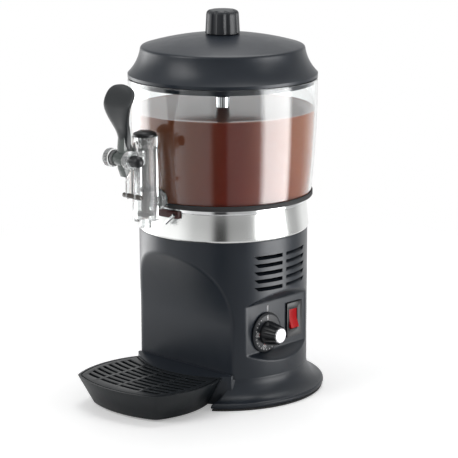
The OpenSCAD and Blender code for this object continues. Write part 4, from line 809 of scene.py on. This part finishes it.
# -------------------------------------------- printed scale, louvres and switch
def repeated(unit, finish, count, start, step=(0.0, 0.0, 0.0), turn=(0.0, 0.0, 0.0),
             turn_step=(0.0, 0.0, 0.0)):
    """Copies of a mesh in a row or round an axis, made with Geometry Nodes."""
    tree = bpy.data.node_groups.new("row_or_ring", "GeometryNodeTree")
    face = tree.interface
    sizes = {"Count": count, "Start": start, "Step": step, "Turn": turn, "Turn Step": turn_step}
    face.new_socket("Unit", in_out="INPUT", socket_type="NodeSocketGeometry")
    ids = {name: face.new_socket(name, in_out="INPUT", socket_type=(
        "NodeSocketInt" if name == "Count" else "NodeSocketVector")).identifier
        for name in sizes}
    face.new_socket("Row", in_out="OUTPUT", socket_type="NodeSocketGeometry")

    def node(kind, links, **settings):
        made = tree.nodes.new(kind)
        for key, value in settings.items():
            setattr(made, key, value)
        for key, socket in links.items():
            tree.links.new(socket, made.inputs[key])
        return made

    given = node("NodeGroupInput", {}).outputs
    line = node("GeometryNodeMeshLine", {"Count": given["Count"], "Start Location":
                                         given["Start"], "Offset": given["Step"]},
                mode="OFFSET")
    index = node("GeometryNodeInputIndex", {})
    angle = node("ShaderNodeVectorMath", {0: given["Turn Step"], 1: index.outputs[0],
                                          2: given["Turn"]}, operation="MULTIPLY_ADD")
    copies = node("GeometryNodeInstanceOnPoints",
                  {"Points": line.outputs[0], "Instance": given["Unit"],
                   "Rotation": angle.outputs[0]})
    real = node("GeometryNodeRealizeInstances", {0: copies.outputs[0]})
    dress = node("GeometryNodeSetMaterial", {"Geometry": real.outputs[0]})
    dress.inputs["Material"].default_value = FINISH[finish]
    node("NodeGroupOutput", {0: dress.outputs[0]})
    obj = bpy.data.objects.new("unit", unit)
    bpy.context.scene.collection.objects.link(obj)
    modifier = obj.modifiers.new("row_or_ring", "NODES")
    modifier.node_group = tree
    for name, value in sizes.items():
        modifier[ids[name]] = value
    out = bpy.data.meshes.new_from_object(
        obj.evaluated_get(bpy.context.evaluated_depsgraph_get()))
    bpy.data.objects.remove(obj)
    return out


def numeral(word, size, place):
    """A printed number as a thin closed mesh, placed by a matrix."""
    curve = bpy.data.curves.new("numeral", "FONT")
    curve.body, curve.size, curve.extrude = word, size * MM, 0.03 * MM
    curve.align_x, curve.align_y, curve.resolution_u = "CENTER", "CENTER", 3
    obj = bpy.data.objects.new("numeral", curve)
    bpy.context.scene.collection.objects.link(obj)
    out = bpy.data.meshes.new_from_object(
        obj.evaluated_get(bpy.context.evaluated_depsgraph_get()))
    bpy.data.objects.remove(obj)
    out.transform(place)
    return out


# The dial turns back from its zero mark, so the numbers run to the left.
DIAL_CENTRE = (0.0, -DIAL_Y * MM, DIAL_Z * MM)
UPRIGHT = Matrix(((0, 0, 1, 0), (1, 0, 0, 0), (0, 1, 0, 0), (0, 0, 0, 1)))
marks = [repeated(slab(-0.35, 0.35, 19.6, 21.6, PRINT_LOW, PRINT_HIGH, 0.02),
                  "white_print", 15, DIAL_CENTRE, turn=(math.radians(34), 0, 0),
                  turn_step=(math.radians(14), 0, 0)),
         repeated(slab(-0.8, 0.8, 16.2, 21.8, PRINT_LOW, PRINT_HIGH, 0.03),
                  "white_print", 1, DIAL_CENTRE)]
for degrees, word in ((90, "30"), (160, "60"), (230, "90")):
    marks.append(numeral(word, 6.6, Matrix.Translation(DIAL_CENTRE)
                         @ Matrix.Rotation(math.radians(degrees), 4, "X")
                         @ Matrix.Translation((GRIP_FOOT * MM, 0, 17.2 * MM)) @ UPRIGHT))
piece("dial_white_scale", joined(*marks), "white_print", "dial")
piece("dial_red_marks", repeated(
    slab(-1.6, 1.6, 14.6, 15.0, PRINT_LOW, PRINT_HIGH, 0.02), "red_print", 3,
    DIAL_CENTRE, turn=(math.radians(90), 0, 0), turn_step=(math.radians(70), 0, 0)),
    "red_print", "dial")
piece("panel_index_line", slab(-17.0, -14.7, 109.4, 116.8, PANEL_X - 0.05, PANEL_X + 0.12, 0.05),
      "white_print", "base")


def louvre(y0, y1, z):
    """One slat of the vents: it climbs inwards behind the lower edge of its slot."""
    section = [(LOUVRE_R, z), (LOUVRE_R, z + LOUVRE_T),
               (LOUVRE_IN_R, z + LOUVRE_T + LOUVRE_RISE), (LOUVRE_IN_R, z + LOUVRE_RISE)]
    turns = np.linspace(math.asin(y0 / 102.0), math.asin(y1 / 102.0), 13)
    rings = [[(r * math.cos(t), r * math.sin(t), h) for r, h in section] for t in turns]
    verts, faces = grid_skin(rings, False)
    faces += [(0, 1, 2, 3), tuple(len(verts) - 1 - k for k in range(4))]
    return merged(verts, faces)


slats = [repeated(louvre(y0, y1, z), "casing", VENT_ROWS, (0.0, 0.0, 0.0),
                  (0.0, 0.0, -VENT_PITCH * MM))
         for y0, y1, z in ((-41.5, -4.9, 176.1), (0.4, 40.0, 177.8))]
piece("vent_louvres", joined(*slats), "casing", "base")

piece("switch_frame", from_cad("switch_bezel", 0.5), "black_plastic", "base",
      ["switch_bezel"])
piece("switch_housing", from_cad("switch_body", 0.2), "black_plastic", "base",
      ["switch_body"])
piece("rocker_lens", from_cad("rocker_switch", 0.8, 3), "red", "rocker",
      ["rocker_switch"])

# ----------------------------------------------------------------- drip tray
piece("drip_tray_pan", from_cad("drip_tray", 0.7, 3), "tray", "tray",
      ["drip_tray"], 40.0)
piece("drip_grille_plate", from_cad("drip_grille", 0.35), "tray", "grille",
      ["drip_grille"])

# -------------------------------------------------------------- latch and back
piece("latch_block", from_cad("latch_plate", 0.6), "maroon", "base", ["latch_plate"])
piece("latch_pin", from_cad("latch_peg", 0.4), "steel_pin", "latch", ["latch_peg"])
piece("cable_gland", from_cad("power_inlet", 0.5), "black_plastic", "base",
      ["power_inlet"])
piece("drain_cap_ribbed", from_cad("drain_cap", 0.3), "black_plastic", "base",
      ["drain_cap"])

# --------------------- CAD nodes that keep their own meshes, dressed by their slots
slots = {s["node"]: s["material_slot"] for s in frame["record"]["subparts"]}
for node, obj in frame["nodes"].items():
    obj.data.materials.clear()
    obj.data.materials.append(FINISH.get(slots[node], FINISH["sheet"]))


# ------------------------------------------------------------ stage and lights
def plane(name, size, z):
    """A square sheet in metres that belongs to the stage."""
    mesh = bpy.data.meshes.new(name)
    h = size / 2
    mesh.from_pydata([(-h, -h, z), (h, -h, z), (h, h, z), (-h, h, z)], [], [(0, 1, 2, 3)])
    obj = bpy.data.objects.new(name, mesh)
    bpy.context.scene.collection.objects.link(obj)
    return obj


# What gloss sees round the object: degrees from the camera's side (right is positive)
# and brightness against a white background of 1.
STUDIO = [(-180, 1.0), (-146, 1.0), (-136, 4.5), (-104, 4.5), (-96, 1.3), (-62, 1.3),
          (-50, 1.0), (-40, 0.72), (-17, 0.66), (-10, 0.05), (3, 0.05), (7, 0.42), (36, 0.50),
          (44, 0.75), (53, 8.0), (84, 8.0), (91, 0.55), (112, 0.5), (132, 1.0), (180, 1.0)]
BRIGHTEST, OVERHEAD, AMBIENT = 8.0, 0.80, 0.40


def studio_light(f, x, y, glossy):
    """Brightness of the surroundings in a direction; softboxes only show in gloss."""
    share = (x.angle_from(y * -1.0) - AZ) / (2 * math.pi)
    place = (share + 1.5).fraction()
    stops = [(0.5 + degrees / 360.0, (level / BRIGHTEST,) * 3) for degrees, level in STUDIO]
    level = f.add("ShaderNodeValToRGB", {"stops": stops}, {0: place})[0] * BRIGHTEST
    return glossy * level + (1.0 - glossy) * level.at_most(1.0)


def floor_finish():
    """White paper: it shades near the object and is plain white further away."""
    f = Finish("pale_floor", Roughness=0.6)
    f.set("Base Color", f.mix(f.noise(3.0), (0.93, 0.93, 0.93), (0.95, 0.95, 0.95)))
    camera_ray, glossy, see = f.rays()
    f.set("Emission Color", (1.0, 1.0, 1.0, 1.0))
    f.set("Emission Strength", camera_ray * 0.3)
    x, y, _ = f.axes()
    away = (x * x + y * y) ** 0.5
    around_light = studio_light(f, x, y, glossy)
    glow = f.add("ShaderNodeEmission", {}, {"Strength": see * around_light + camera_ray})
    share = see * away.ramp(0.25, 0.6) + camera_ray * away.ramp(0.4, 0.9)
    blend = f.tree.nodes.new("ShaderNodeMixShader")
    f.tree.links.new(share.socket, blend.inputs[0])
    f.tree.links.new(f.shader.outputs[0], blend.inputs[1])
    f.tree.links.new(glow[0].socket, blend.inputs[2])
    end = next(n for n in f.tree.nodes if n.type == "OUTPUT_MATERIAL")
    f.tree.links.new(blend.outputs[0], end.inputs[0])
    return f.material


floor = plane("floor", 30.0, 0.0)
floor.data.materials.append(floor_finish())


def lamp(name, place, target, size, power):
    """A rectangular area lamp that looks at a target."""
    data = bpy.data.lights.new(name, "AREA")
    data.shape, data.size, data.size_y = "RECTANGLE", size[0], size[1]
    data.energy = power
    data.spread = math.pi
    obj = bpy.data.objects.new(name, data)
    obj.location = place
    obj.rotation_euler = (Vector(target) - Vector(place)).to_track_quat("-Z", "Y").to_euler()
    bpy.context.scene.collection.objects.link(obj)


def around(turn, distance, height):
    """A place seen from the object, turned from the camera's side (right is positive)."""
    a = AZ + math.radians(turn)
    return (distance * math.sin(a), -distance * math.cos(a), height)


# place from (degrees, metres off, metres up), target, size in metres and watts
lamp("key", around(-60, 1.6, 1.45), (0, 0, 0.24), (0.9, 1.1), 12.0)
lamp("fill", around(62, 1.8, 0.9), (0, 0, 0.22), (0.4, 1.3), 3.0)
lamp("top", around(150, 0.45, 1.9), (0, 0, 0.3), (1.4, 1.4), 18.5)


class Sky(Finish):
    """The world's node tree, written as the finishes are."""

    def __init__(self, name):
        sky = bpy.data.worlds.new(name)
        sky.use_nodes = True
        bpy.context.scene.world = sky
        self.tree, self.coords = sky.node_tree, None
        self.tree.nodes.clear()


def world():
    """White to the camera, a plain studio to gloss and soft grey light otherwise."""
    f = Sky("studio")
    camera_ray, glossy, see = f.rays()
    x, y, z = f.axes(f.add("ShaderNodeTexCoord")[0])
    high = z.ramp(0.05, 0.30)
    seen = studio_light(f, x, y, glossy) * (1.0 - high) + high * OVERHEAD
    level = see * seen + (1.0 - see) * AMBIENT
    strength = camera_ray + (1.0 - camera_ray) * level
    glow = f.add("ShaderNodeBackground", {}, {"Strength": strength})[0]
    end = f.tree.nodes.new("ShaderNodeOutputWorld")
    f.tree.links.new(glow.socket, end.inputs[0])


world()

# --------------------------------------------------------------------- camera
camera_data = bpy.data.cameras.new("camera")
camera_data.lens = LENS
camera_data.sensor_width = 36.0
camera_data.shift_x, camera_data.shift_y = SHIFT
camera = bpy.data.objects.new("camera", camera_data)
back = Vector((math.sin(AZ) * math.cos(EL), -math.cos(AZ) * math.cos(EL), math.sin(EL)))
camera.location = TARGET + back * DISTANCE
look = (-back).to_track_quat("-Z", "Y").to_matrix().to_4x4()
camera.matrix_world = (Matrix.Translation(camera.location) @ look
                       @ Matrix.Rotation(ROLL, 4, "Z"))
bpy.context.scene.collection.objects.link(camera)
bpy.context.scene.camera = camera
bpy.context.scene.view_settings.view_transform = "Standard"
